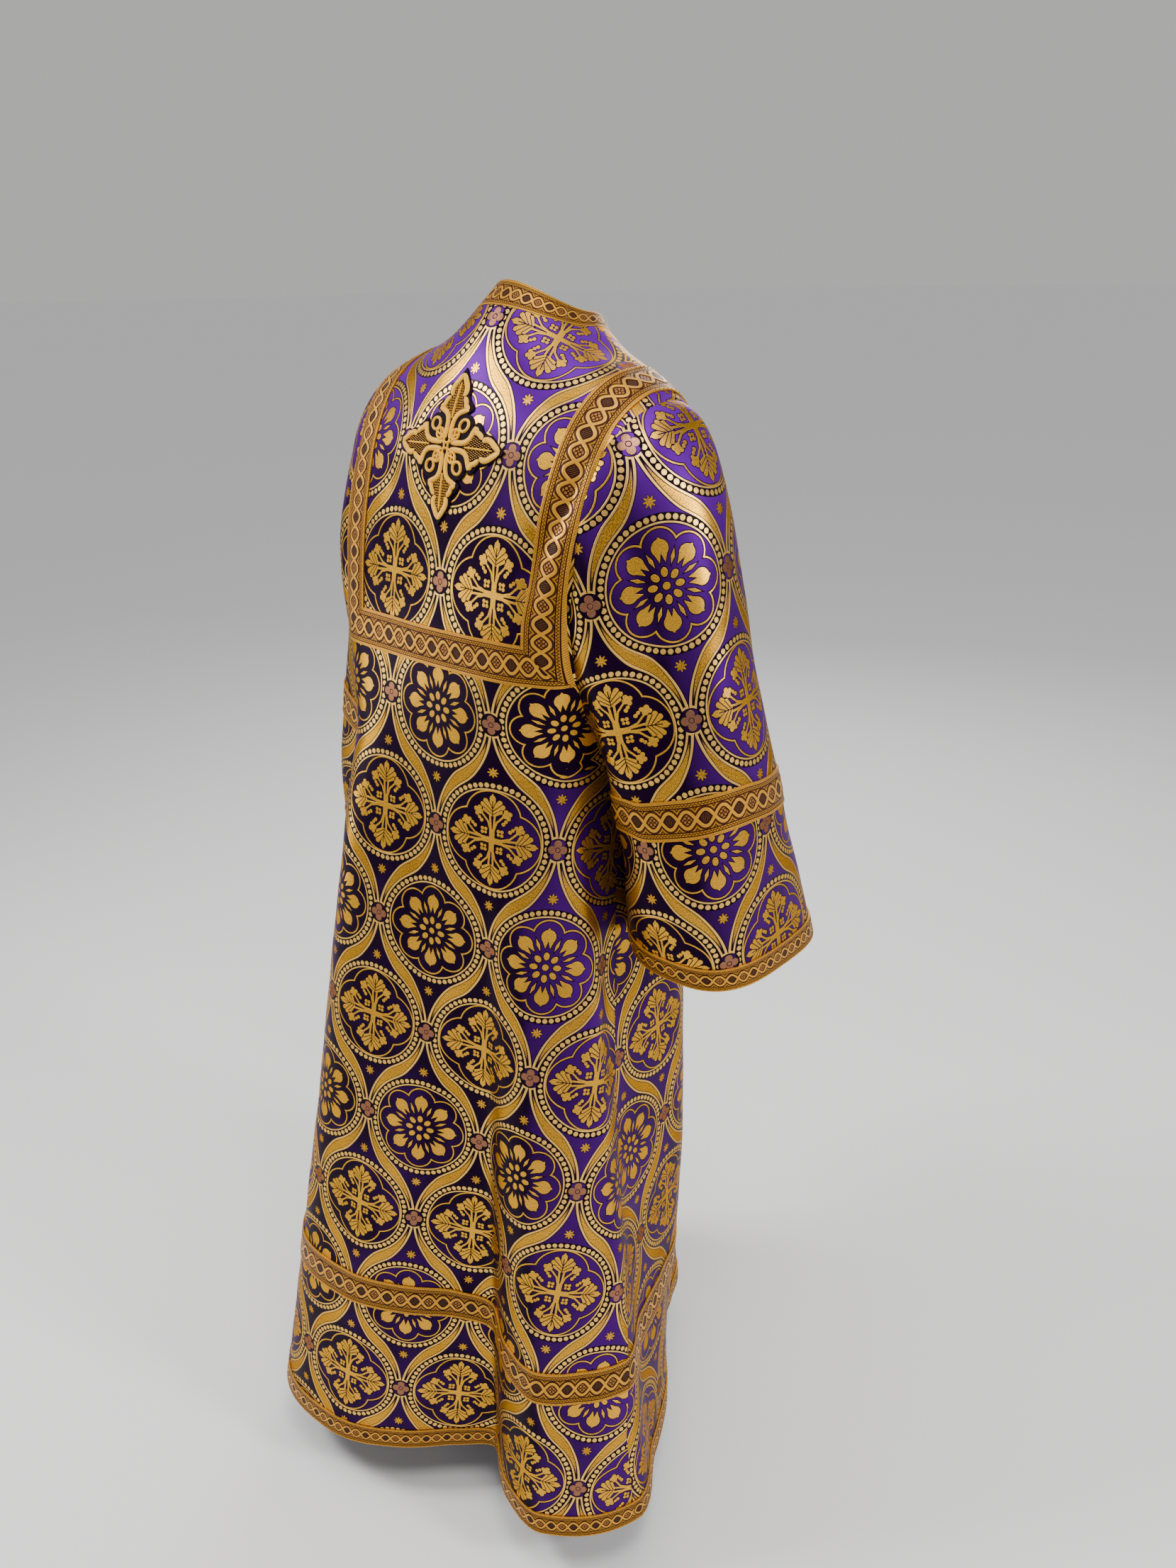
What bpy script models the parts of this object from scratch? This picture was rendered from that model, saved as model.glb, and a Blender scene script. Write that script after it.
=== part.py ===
"""Dalmatic: a liturgical tunic of figured brocade, kept in the hollow shape it has when worn.

Metres, +Z up, the front faces -Y. The origin is at the middle of the shoulders,
at the height of the neck's base. Each cut piece is its own closed solid.
"""
import math
import bpy
import bmesh
import numpy as np
from mathutils import Matrix, Vector

# cloth and seams
CLOTH = 0.0020            # thickness of the lined brocade
GALLOON = 0.0010          # thickness of the woven gold band
GAP = 0.0003              # space between a band and the panel under it
SEAM = 0.00016            # each edge stands back this much from its seam
APPLIQUE = 0.0014         # thickness of the dark ground of the cross
EMBROIDERY = 0.0022       # height of the padded gold work on it

# heights
UNDERARM_Z = -0.440
HEM_Z = -1.380
UPPER_BAND_TOP = -1.154
UPPER_BAND_LOW = -1.196
HEM_BAND_TOP = -1.353

# widths
YOKE_BAND = 0.041
COLLAR_HEIGHT = 0.017     # of its upper edge over its seam, half way round
COLLAR_RAKE = 0.006       # how much more it rises behind the left ear, and less opposite
COLLAR_LEAN = 0.014       # how far its upper edge leans in
COLLAR_SHIFT = -0.011     # and forward
COLLAR_OPENING = 62.0     # direction of the collar's slit, at the right of the nape

# the yoke band's middle line, which runs from the front over the shoulder to the back
YOKE_TOP_X, YOKE_TOP_Z = 0.156, -0.050
YOKE_LOW_X, YOKE_LOW_Z = 0.138, -0.313

# the embroidered cross at the middle of the back
CROSS_AT = (0.0, 0.104, -0.118)
CROSS_TILT = 20.0         # degrees that the cloth leans back from upright there
CROSS_ARM = 0.074
# half of one arm's outline: distance from the middle and half width, as shares of the arm
GOLD_ARM = ((0.30, 0.070), (0.44, 0.080), (0.47, 0.240), (0.56, 0.330), (0.63, 0.260), (0.74, 0.190),
            (0.88, 0.090), (1.00, 0.010))
GROUND_ARM = ((0.43, 0.230), (0.47, 0.350), (0.55, 0.420), (0.66, 0.380), (0.78, 0.280), (0.93, 0.160),
              (1.09, 0.020))
# the lobe between two arms: centre along both arms, radius, first and last angle of its arc
GOLD_LOBE = dict(at=0.240, radius=0.110, first=-60.0, last=150.0)
GROUND_LOBE = dict(at=0.240, radius=0.185, first=-15.0, last=105.0)

# The yoke, row by row from the neck down to the underarm:
# half width, back depth, front depth, middle y, z at side, z at back, z at front, squareness
YOKE = (
    (0.069, 0.070, 0.068, -0.034, -0.009, 0.009, -0.042, 1.00),
    (0.098, 0.089, 0.083, -0.034, -0.027, -0.016, -0.088, 1.00),
    (0.141, 0.102, 0.096, -0.026, -0.043, -0.054, -0.134, 0.97),
    (0.180, 0.117, 0.106, -0.014, -0.061, -0.112, -0.182, 0.92),
    (0.205, 0.128, 0.114, -0.006, -0.088, -0.184, -0.232, 0.82),
    (0.212, 0.136, 0.120, 0.000, -0.155, -0.270, -0.290, 0.71),
    (0.186, 0.141, 0.124, 0.002, -0.285, -0.350, -0.358, 0.69),
    (0.144, 0.146, 0.126, 0.004, -0.440, -0.440, -0.440, 0.82),
)
LAST = len(YOKE) - 1
# fullness over the right hip, half way down the skirt
HIP = dict(direction=128.0, width=34.0, depth=0.030)
SHOULDER_SLOPE = 0.05     # the left shoulder hangs a little higher than the right

# fullness behind the left arm: direction, width in degrees, depth at each of the last yoke rows
FULLNESS = dict(direction=-44.0, width=24.0, rows={5: 0.006, 6: 0.020, 7: 0.046})

# The hem seen from above, which sets every fold below the underarm:
# direction in degrees from the back towards the wearer's right, radius, lateness of the flare
HEM = (
    (-92, 0.232, 1.8), (-74, 0.292, 1.3), (-50, 0.372, 1.0), (-37, 0.384, 1.0), (-19, 0.339, 1.1),
    (-5, 0.277, 1.1), (8, 0.222, 1.1), (20, 0.200, 1.1), (31, 0.262, 1.1), (41, 0.302, 1.1),
    (54, 0.309, 1.1), (64, 0.304, 1.1), (76, 0.241, 1.4), (92, 0.199, 1.7), (112, 0.162, 1.2),
    (132, 0.149, 0.9), (152, 0.178, 0.9), (168, 0.214, 1.1), (184, 0.196, 1.2), (200, 0.214, 1.2),
    (218, 0.288, 1.1), (236, 0.296, 1.2), (252, 0.226, 1.5),
)

# The armhole, from the shoulder (0) by the back to the underarm (180): angle, direction, yoke row
ARMHOLE = (
    (0, 90, 3.20), (20, 70, 3.42), (40, 53, 3.95), (65, 46, 4.70), (90, 47, 5.40),
    (115, 54, 6.00), (140, 66, 6.50), (160, 78, 6.85), (180, 90, 7.00),
)

# The sleeve's lengthwise lines, by angle round the armhole (0 shoulder, 90 back, 180 underarm):
# angle, start direction x y z, its strength, middle point x y z, strength of the fall to the cuff
SLEEVE = (
    (0, -0.95, 0.00, -0.31, 0.17, -0.273, -0.008, -0.330, 0.34),
    (45, -0.96, 0.05, -0.28, 0.15, -0.252, 0.046, -0.370, 0.32),
    (90, -0.96, 0.05, -0.28, 0.12, -0.206, 0.064, -0.450, 0.22),
    (135, -0.86, -0.08, -0.50, 0.08, -0.172, 0.044, -0.520, 0.16),
    (180, -0.97, 0.00, -0.24, 0.07, -0.163, -0.012, -0.530, 0.10),
    (225, -0.86, 0.00, -0.50, 0.08, -0.170, -0.072, -0.520, 0.16),
    (270, -0.90, 0.05, -0.44, 0.12, -0.200, -0.100, -0.450, 0.22),
    (315, -0.96, 0.00, -0.28, 0.13, -0.257, -0.084, -0.390, 0.32),
)
CUFF = dict(x=-0.234, y=-0.055, z=-0.654, half_width=0.079, half_depth=0.103, rise=0.018, squareness=0.66)
LEFT_SPREAD = 0.055       # how much further out the left sleeve hangs at its cuff

# how much the upper hem band climbs, by direction; it lies level where this is 0
BAND_RISE = ((-110, 0.5), (-60, 1.0), (0, 1.0), (42, 0.0), (140, 0.0), (200, 0.4))
BAND_RISE_HEIGHT = 0.030

# side seams: direction at the underarm, at the hem on the right and on the left
SEAM_TOP, SEAM_RIGHT, SEAM_LEFT = 90.0, 63.0, -76.0

# how finely the panels are divided
BACK_COLUMNS, FRONT_COLUMNS = 22, 26
NECK_ROWS = (0.0, 0.5, 1.0, 1.5, 2.0, 2.6)
ARM_STEPS = tuple(range(0, 181, 18))
SKIRT_ROWS = (-0.510, -0.590, -0.680, -0.780, -0.880, -0.980, UPPER_BAND_TOP, UPPER_BAND_LOW,
              -1.255, HEM_BAND_TOP, HEM_Z)
UPPER_SLEEVE = (0.0, 0.10, 0.24, 0.40, 0.56, 0.72, 0.87, 1.0)   # shares of the way to the band
LOWER_SLEEVE = (0.185, 0.143, 0.085, 0.027, 0.0)   # distances up from the cuff's edge
BAND_CLIMB = 0.040        # how much higher the sleeve's band lies on the outer side
SLEEVE_BAND = (7, 8)      # rows between which the sleeve's band lies
CUFF_BAND = (10, 11)

PURPLE = (0.085, 0.018, 0.190, 1.0)
GOLD = (0.480, 0.270, 0.080, 1.0)
BRIGHT_GOLD = (0.720, 0.480, 0.120, 1.0)
AUBERGINE = (0.030, 0.008, 0.045, 1.0)


def smooth(rows, column, at, period=None):
    """Reads a column of a table at any value of its first column, without overshoot."""
    x = np.array([row[0] for row in rows], float)
    y = np.array([row[column] for row in rows], float)
    at = np.asarray(at, float)
    if period:
        at = (at - x[0]) % period + x[0]
        x = np.concatenate([x[-2:] - period, x, x[:2] + period])
        y = np.concatenate([y[-2:], y, y[:2]])
    step = np.diff(x)
    rise = np.diff(y) / step
    slope = np.zeros_like(y)
    same = rise[:-1] * rise[1:] > 0
    slope[1:-1][same] = 2.0 / (1.0 / rise[:-1][same] + 1.0 / rise[1:][same])
    slope[0], slope[-1] = rise[0], rise[-1]
    if not period and rows is ARMHOLE:
        slope[0] = slope[0] if column == 1 else 0.0
        slope[-1] = slope[-1] if column == 1 else 0.0
    k = np.clip(np.searchsorted(x, at, side="right") - 1, 0, len(step) - 1)
    w = (at - x[k]) / step[k]
    return ((2 * w**3 - 3 * w**2 + 1) * y[k] + (w**3 - 2 * w**2 + w) * step[k] * slope[k]
            + (3 * w**2 - 2 * w**3) * y[k + 1] + (w**3 - w**2) * step[k] * slope[k + 1])


def yoke_ring(row, direction):
    """One row of the yoke: a rounded ring that rises at the back and dips at the front."""
    half, back, front, middle, side_z, back_z, front_z, square = row
    s, c = np.sin(np.radians(direction)), np.cos(np.radians(direction))
    depth = np.where(c >= 0, back, front)
    end_z = np.where(c >= 0, back_z, front_z)
    off = (np.asarray(direction) - FULLNESS["direction"] + 180.0) % 360.0 - 180.0
    full = FULLNESS["rows"].get(YOKE.index(row), 0.0) * np.exp(-(off / FULLNESS["width"])**2)
    x = -half * np.sign(s) * np.abs(s)**square - full * s
    y = middle + depth * np.sign(c) * np.abs(c)**square + full * c
    slope = SHOULDER_SLOPE * min(1.0, max(0.0, (side_z + 0.36) / 0.30))
    return np.stack([x, y, side_z * s * s + end_z * c * c + slope * x], -1)


def skirt(direction, fall):
    """The cloth below the underarm: fall is 0 there and 1 at the hem."""
    top = yoke_ring(YOKE[LAST], direction)
    radius = smooth(HEM, 1, direction, 360.0)
    late = smooth(HEM, 2, direction, 360.0)
    s, c = np.sin(np.radians(direction)), np.cos(np.radians(direction))
    hem = np.stack([-radius * s, radius * c, np.full_like(radius, HEM_Z)], -1)
    point = top + (hem - top) * (fall**late)[..., None]
    off = (direction - HIP["direction"] + 180.0) % 360.0 - 180.0
    full = HIP["depth"] * np.exp(-(off / HIP["width"])**2) * np.sin(np.pi * fall)
    point[..., 0] -= full * s
    point[..., 1] += full * c
    point[..., 2] = UNDERARM_Z + (HEM_Z - UNDERARM_Z) * fall
    return point


def body(direction, row):
    """A point of the body by direction and row: the yoke's rows, then one more down to the hem."""
    direction, row = np.broadcast_arrays(np.asarray(direction, float), np.asarray(row, float))
    rings = [yoke_ring(r, direction) for r in YOKE]
    rings.append(skirt(direction, np.full(direction.shape, 0.11)))
    rings.insert(0, 2 * rings[0] - rings[1])
    rings = np.stack(rings)
    k = np.clip(np.floor(row), 0, LAST - 1).astype(int)
    w = (row - k)[..., None]
    place = tuple(np.indices(direction.shape))
    p0, p1, p2, p3 = (rings[(k + i,) + place] for i in range(4))
    upper = 0.5 * (2 * p1 + (p2 - p0) * w + (2 * p0 - 5 * p1 + 4 * p2 - p3) * w**2
                   + (3 * p1 - p0 - 3 * p2 + p3) * w**3)
    lower = skirt(direction, np.clip(row - LAST, 0.0, 1.0))
    return np.where((row > LAST)[..., None], lower, upper)


def normals(surface, a, b, da, db):
    """Outward normals of a surface of two parameters, by central differences."""
    along_a = surface(a + da, b) - surface(a - da, b)
    along_b = surface(a, b + db) - surface(a, b - db)
    n = np.cross(along_b, along_a)
    return n / np.linalg.norm(n, axis=-1, keepdims=True)


def body_normals(direction, row):
    row = np.clip(row, 0.004, LAST + 0.996)
    return normals(body, direction, row, 0.4, 0.004)


def arm_place(angle, side="right"):
    """Direction and row of an armhole's edge at an angle from 0 to 360."""
    angle = np.asarray(angle, float) % 360.0
    half = np.where(angle > 180.0, 360.0 - angle, angle)
    direction = smooth(ARMHOLE, 1, half)
    direction = np.where(angle > 180.0, 180.0 - direction, direction)
    return direction * (1.0 if side == "right" else -1.0), smooth(ARMHOLE, 2, half)


def cuff_edge(angle):
    """The right cuff: a rounded ring that rises a little at its inner side."""
    s, c = np.sin(np.radians(angle)), np.cos(np.radians(angle))
    square = CUFF["squareness"]
    return np.stack([CUFF["x"] - CUFF["half_width"] * np.sign(c) * np.abs(c)**square,
                     CUFF["y"] + CUFF["half_depth"] * np.sign(s) * np.abs(s)**square,
                     CUFF["z"] + CUFF["rise"] * np.clip(-c, 0, 1)], -1)


def sleeve(angle, along, side="right"):
    """A sleeve: angle round the arm, along from the armhole (0) to the cuff (1)."""
    angle, along = np.broadcast_arrays(np.asarray(angle, float), np.asarray(along, float))
    column = [smooth(SLEEVE, i, angle, 360.0)[..., None] for i in range(1, 9)]
    flip = np.array([1.0 if side == "right" else -1.0, 1.0, 1.0])
    spread = np.array([0.0 if side == "right" else LEFT_SPREAD, 0.0, 0.0])
    start, end = body(*arm_place(angle, side)), cuff_edge(angle) * flip + spread
    lead = np.concatenate(column[0:3], -1) * flip
    lead = lead / np.linalg.norm(lead, axis=-1, keepdims=True) * column[3]
    middle = np.concatenate(column[4:7], -1) * flip + spread * 0.6
    pass_by = (end - start) * 0.5
    fall = np.array([-0.10, -0.22, -1.0]) * flip * column[7]
    first = (along < 0.5)[..., None]
    p, q = np.where(first, start, middle), np.where(first, middle, end)
    m, n = np.where(first, lead, pass_by), np.where(first, pass_by, fall)
    w = np.where(along < 0.5, along * 2.0, along * 2.0 - 1.0)[..., None]
    return ((2 * w**3 - 3 * w**2 + 1) * p + (w**3 - 2 * w**2 + w) * m
            + (3 * w**2 - 2 * w**3) * q + (w**3 - w**2) * n)


def sleeve_normals(angle, along, side="right"):
    along = np.clip(along, 0.004, 0.996)
    out = normals(lambda a, b: sleeve(a, b, side), angle, along, 1.0, 0.004)
    return -out if side == "right" else out


def material(name, colour, roughness, metallic):
    made = bpy.data.materials.get(name) or bpy.data.materials.new(name)
    made.use_nodes = True
    shader = made.node_tree.nodes["Principled BSDF"]
    shader.inputs["Base Color"].default_value = colour
    shader.inputs["Roughness"].default_value = roughness
    shader.inputs["Metallic"].default_value = metallic
    return made


BROCADE = ("brocade", PURPLE, 0.45, 0.1)
BAND = ("galloon", GOLD, 0.40, 0.6)
GROUND = ("cross_ground", AUBERGINE, 0.60, 0.0)
THREAD = ("gold_thread", BRIGHT_GOLD, 0.30, 0.8)


def add_object(name, mesh_data, finish):
    thing = bpy.data.objects.new(name, mesh_data)
    mesh_data.materials.append(material(*finish))
    bpy.context.scene.collection.objects.link(thing)
    mesh_data.shade_smooth()
    mesh_data.set_sharp_from_angle(angle=math.radians(50))
    return thing


def slab_mesh(name, points, normal, low, high, closed=False):
    """A wall through a grid of points, between two distances along its normals."""
    rows, columns = points.shape[:2]
    outer, inner = points + normal * high, points + normal * low
    shell = bmesh.new()
    top = [[shell.verts.new(p) for p in line] for line in outer]
    bottom = [[shell.verts.new(p) for p in line] for line in inner]
    last = columns if closed else columns - 1
    for i in range(rows - 1):
        for j in range(last):
            k = (j + 1) % columns
            shell.faces.new((top[i][j], top[i][k], top[i + 1][j]))
            shell.faces.new((top[i][k], top[i + 1][k], top[i + 1][j]))
            shell.faces.new((bottom[i][j], bottom[i + 1][j], bottom[i][k]))
            shell.faces.new((bottom[i][k], bottom[i + 1][j], bottom[i + 1][k]))
    for j in range(last):
        k = (j + 1) % columns
        shell.faces.new((top[0][k], top[0][j], bottom[0][j], bottom[0][k]))
        shell.faces.new((top[-1][j], top[-1][k], bottom[-1][k], bottom[-1][j]))
    if not closed:
        for i in range(rows - 1):
            for j in (0, -1):
                shell.faces.new((top[i][j], top[i + 1][j], bottom[i][j]))
                shell.faces.new((top[i + 1][j], bottom[i + 1][j], bottom[i][j]))
    bmesh.ops.recalc_face_normals(shell, faces=shell.faces)
    mesh_data = bpy.data.meshes.new(name)
    shell.to_mesh(mesh_data)
    shell.free()
    return mesh_data


def body_rows():
    """Row values of the panels: neck, armhole steps, then the skirt's heights."""
    arm = [float(arm_place(a)[1]) for a in ARM_STEPS]
    low = [LAST + (UNDERARM_Z - z) / (UNDERARM_Z - HEM_Z) for z in SKIRT_ROWS]
    return np.array(list(NECK_ROWS) + arm + low)


def edge_directions(rows, side):
    """Direction of a panel's edge at each row: shoulder, armhole, then side seam."""
    edge = []
    steps = {round(float(arm_place(a)[1]), 6): float(arm_place(a)[0]) for a in ARM_STEPS}
    at_hem = SEAM_RIGHT if side > 0 else -SEAM_LEFT
    for row in rows:
        if row <= ARMHOLE[0][2]:
            edge.append(90.0)
        elif row <= LAST:
            edge.append(steps[round(float(row), 6)])
        else:
            edge.append(SEAM_TOP + (at_hem - SEAM_TOP) * min(1.0, (row - LAST) * 1.15)**0.8)
    return np.array(edge)


def panel_grid(which):
    """Directions and rows of the back or the front panel."""
    rows = body_rows()
    right, left = edge_directions(rows, 1), edge_directions(rows, -1)
    if which == "back":
        first, last, columns = -left, right, BACK_COLUMNS
    else:
        arm = (rows > ARMHOLE[0][2]) & (rows <= LAST)
        first = np.where(arm, 180.0 - right, right)
        last = np.where(arm, 180.0 + left, 360.0 - left)
        columns = FRONT_COLUMNS
    share = np.linspace(0.0, 1.0, columns + 1)
    directions = first[:, None] + (last - first)[:, None] * share
    height = UNDERARM_Z + (HEM_Z - UNDERARM_Z) * (rows - LAST)
    weight = np.interp(-height, (0.88, -UPPER_BAND_TOP, -UPPER_BAND_LOW, -HEM_BAND_TOP), (0, 1, 1, 0))
    rise = BAND_RISE_HEIGHT / (HEM_Z - UNDERARM_Z) * weight[:, None]
    return directions, rows[:, None] + rise * smooth(BAND_RISE, 1, directions, 360.0)


def stand_back(points, sides=True, top=True):
    """Pulls the grid's edges back from their seams along the cloth."""
    out = points.copy()

    def pull(edge, neighbour):
        way = neighbour - edge
        return edge + way / np.linalg.norm(way, axis=-1, keepdims=True) * SEAM

    if sides:
        out[:, 0] = pull(points[:, 0], points[:, 1])
        out[:, -1] = pull(points[:, -1], points[:, -2])
    if top:
        out[0] = pull(out[0], out[1])
    return out


def body_panel(name, which):
    directions, rows = panel_grid(which)
    points = stand_back(body(directions, rows))
    mesh_data = slab_mesh(name, points, body_normals(directions, rows), -CLOTH, 0.0)
    return add_object(name, mesh_data, BROCADE)


def sleeve_lines(side):
    """Angles of a sleeve's lengthwise lines, and where each row crosses each of them."""
    half = list(ARM_STEPS)
    angles = np.array(half + [360 - a for a in reversed(half[1:-1])], float)
    fine = np.linspace(0.0, 1.0, 61)
    columns = []
    for angle in angles:
        line = sleeve(np.full_like(fine, angle), fine, side)
        length = np.concatenate([[0.0], np.cumsum(np.linalg.norm(np.diff(line, axis=0), axis=1))])
        climb = BAND_CLIMB * (1 + math.cos(math.radians(angle))) / 2
        upper = np.array(UPPER_SLEEVE) * (length[-1] - LOWER_SLEEVE[0] - climb)
        lower = length[-1] - np.array(LOWER_SLEEVE[1:]) - climb * np.array([1.0, 0.5, 0.0, 0.0])
        columns.append(np.interp(np.concatenate([upper, lower]), length, fine))
    return angles, np.array(columns).T


def sleeve_grid(side):
    angles, along = sleeve_lines(side)
    angle = np.broadcast_to(angles, along.shape)
    points, normal = sleeve(angle, along, side), sleeve_normals(angle, along, side)
    way = points[1] - points[0]
    way /= np.linalg.norm(way, axis=-1, keepdims=True)
    points[0] += way * SEAM
    edge = body_normals(*arm_place(angle[0], side))
    valley = np.clip((way * edge).sum(-1, keepdims=True), 0.0, 1.0)
    normal[0] = edge + normal[0] * valley
    normal[0] /= np.linalg.norm(normal[0], axis=-1, keepdims=True)
    return points, normal


def sleeve_panel(side):
    points, normal = sleeve_grid(side)
    name = "sleeve_" + side
    return add_object(name, slab_mesh(name, points, normal, -CLOTH, 0.0, closed=True), BROCADE)


def sleeve_strip(name, side, span):
    points, normal = sleeve_grid(side)
    part = slice(span[0], span[1] + 1)
    mesh_data = slab_mesh(name, points[part], normal[part], GAP, GAP + GALLOON, closed=True)
    return add_object(name, mesh_data, BAND)


def hem_strip(name, which, top_z, low_z):
    """A band that runs level round a panel, made from the panel's own rows."""
    directions, rows = panel_grid(which)
    heights = UNDERARM_Z + (HEM_Z - UNDERARM_Z) * (body_rows() - LAST)
    part = np.where((heights <= top_z + 1e-6) & (heights >= low_z - 1e-6))[0]
    points = stand_back(body(directions, rows), top=False)[part]
    normal = body_normals(directions, rows)[part]
    return add_object(name, slab_mesh(name, points, normal, GAP, GAP + GALLOON), BAND)


def bands_surface(panels):
    """The panels' outer triangles as one open surface, with each point's normal kept on it."""
    surface = bmesh.new()
    layer = surface.verts.layers.float_vector.new("normal")
    for which in panels:
        directions, rows = panel_grid(which)
        keep = rows[:, 0] <= LAST + 0.001
        points, normal = body(directions, rows)[keep], body_normals(directions, rows)[keep]
        grid = []
        for line, line_normals in zip(points, normal):
            grid.append([surface.verts.new(p) for p in line])
            for vertex, n in zip(grid[-1], line_normals):
                vertex[layer] = n
        for i in range(len(grid) - 1):
            for j in range(len(grid[0]) - 1):
                surface.faces.new((grid[i][j], grid[i][j + 1], grid[i + 1][j]))
                surface.faces.new((grid[i][j + 1], grid[i + 1][j + 1], grid[i + 1][j]))
    bmesh.ops.remove_doubles(surface, verts=surface.verts, dist=1e-6)
    return surface, layer


def keep_side(surface, point, direction):
    """Cuts the surface by a plane and keeps the side that the direction points to."""
    everything = list(surface.verts) + list(surface.edges) + list(surface.faces)
    bmesh.ops.bisect_plane(surface, geom=everything, dist=1e-7, plane_co=Vector(point),
                           plane_no=Vector(direction), clear_inner=True)


def thicken(name, surface, layer, low, high):
    """Makes an open surface into a closed wall between two distances along its normals."""
    wall = bmesh.new()
    top, bottom = {}, {}
    for vertex in surface.verts:
        n = Vector(vertex[layer]).normalized()
        top[vertex] = wall.verts.new(vertex.co + n * high)
        bottom[vertex] = wall.verts.new(vertex.co + n * low)
    for face in surface.faces:
        wall.faces.new([top[v] for v in face.verts])
        wall.faces.new([bottom[v] for v in reversed(face.verts)])
    for edge in surface.edges:
        if edge.is_boundary:
            a, b = edge.verts
            wall.faces.new((top[a], top[b], bottom[b], bottom[a]))
    bmesh.ops.triangulate(wall, faces=[f for f in wall.faces if len(f.verts) > 4])
    bmesh.ops.recalc_face_normals(wall, faces=wall.faces)
    mesh_data = bpy.data.meshes.new(name)
    wall.to_mesh(mesh_data)
    wall.free()
    surface.free()
    return mesh_data


def band_frame(side):
    """The lengthwise yoke band seen from behind: its line, its outward side and the mitre."""
    out = 1.0 if side == "left" else -1.0
    line = Vector((out * (YOKE_LOW_X - YOKE_TOP_X), 0.0, YOKE_LOW_Z - YOKE_TOP_Z)).normalized()
    outward = Vector((out * -line.z, 0.0, out * line.x))
    corner = Vector((out * YOKE_LOW_X, 0.0, YOKE_LOW_Z))
    mitre = Vector((out, 0.0, 1.0)).normalized()
    return outward, corner, mitre


def yoke_band(side):
    """A band from the front corner over the shoulder to the back corner, mitred at both."""
    outward, corner, mitre = band_frame(side)
    surface, layer = bands_surface(("back", "front"))
    keep_side(surface, corner - outward * YOKE_BAND / 2, outward)
    keep_side(surface, corner + outward * YOKE_BAND / 2, -outward)
    keep_side(surface, corner + mitre * SEAM, mitre)
    name = "yoke_band_" + side
    return add_object(name, thicken(name, surface, layer, GAP, GAP + GALLOON), BAND)


def yoke_band_across(which):
    """The level band between the two lengthwise ones."""
    surface, layer = bands_surface((which,))
    keep_side(surface, (0, 0, YOKE_LOW_Z - YOKE_BAND / 2), (0, 0, 1))
    keep_side(surface, (0, 0, YOKE_LOW_Z + YOKE_BAND / 2), (0, 0, -1))
    for side in ("right", "left"):
        corner, mitre = band_frame(side)[1:]
        keep_side(surface, corner - mitre * SEAM, -mitre)
    name = "yoke_band_across_" + which
    return add_object(name, thicken(name, surface, layer, GAP, GAP + GALLOON), BAND)


def collar():
    """A standing band on the neck's edge, open in a slit beside the nape."""
    around = np.linspace(COLLAR_OPENING + 0.35, COLLAR_OPENING + 359.65, 31)
    base, normal = body(around, np.zeros_like(around)), body_normals(around, np.zeros_like(around))
    inward = base - body(around, np.full_like(around, 0.1))
    inward /= np.linalg.norm(inward, axis=-1, keepdims=True)
    base = base + inward * 2 * SEAM
    centre = np.array([0.0, YOKE[0][3], 0.0])
    flat = (base - centre) * np.array([1.0, 1.0, 0.0])
    flat /= np.linalg.norm(flat, axis=-1, keepdims=True)
    points, sides = [base], [normal]
    for share in (0.14, 1.0):
        height = COLLAR_HEIGHT + COLLAR_RAKE * np.cos(np.radians(around + 40.0))
        rise = np.stack([np.zeros_like(height), np.full_like(height, COLLAR_SHIFT), height], -1)
        points.append(base + (rise - flat * COLLAR_LEAN) * share)
        sides.append(flat)
    mesh_data = slab_mesh("collar", np.array(points), np.array(sides), -CLOTH, 0.0)
    return add_object("collar", mesh_data, BAND)


def cross_outline(arm, lobe):
    """The outline of a cross: four like arms, and a round lobe between each two."""
    quarter = [(d, -w) for d, w in arm] + [(d, w) for d, w in reversed(arm)]
    for angle in np.radians(np.linspace(lobe["first"], lobe["last"], 7)):
        quarter.append((lobe["at"] + lobe["radius"] * math.cos(angle),
                        lobe["at"] + lobe["radius"] * math.sin(angle)))
    outline = []
    for turn in range(4):
        spin = Matrix.Rotation(turn * math.pi / 2, 2)
        outline += [spin @ Vector(p) * CROSS_ARM for p in quarter]
    return outline


def cross_layer(name, outline, low, high, finish):
    """A layer of the cross: the cloth's own surface moved out, cut to the outline."""
    surface, layer = bands_surface(("back",))
    for point, way in (((0.1, 0, 0), (-1, 0, 0)), ((-0.1, 0, 0), (1, 0, 0)), ((0, 0, -0.24), (0, 0, 1))):
        keep_side(surface, point, way)
    sheet = add_object(name, thicken(name, surface, layer, low, high), finish)
    tilt = math.radians(CROSS_TILT)
    side = Vector((1, 0, 0))
    up = Vector((0, -math.sin(tilt), math.cos(tilt)))
    out = up.cross(side) * -1.0
    cutter = bmesh.new()
    ends = []
    for depth in (-0.06, 0.06):
        ends.append([cutter.verts.new(Vector(CROSS_AT) + side * p.x + up * p.y + out * depth)
                     for p in outline])
    cutter.faces.new(ends[0])
    cutter.faces.new(list(reversed(ends[1])))
    for j in range(len(outline)):
        k = (j + 1) % len(outline)
        cutter.faces.new((ends[0][j], ends[0][k], ends[1][k], ends[1][j]))
    bmesh.ops.recalc_face_normals(cutter, faces=cutter.faces)
    mesh_data = bpy.data.meshes.new(name + "_cutter")
    cutter.to_mesh(mesh_data)
    cutter.free()
    tool = bpy.data.objects.new(name + "_cutter", mesh_data)
    bpy.context.scene.collection.objects.link(tool)
    tool.hide_render = True
    tool.display_type = "WIRE"
    cut = sheet.modifiers.new("outline", "BOOLEAN")
    cut.operation = "INTERSECT"
    cut.solver = "EXACT"
    cut.object = tool
    return sheet


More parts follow.
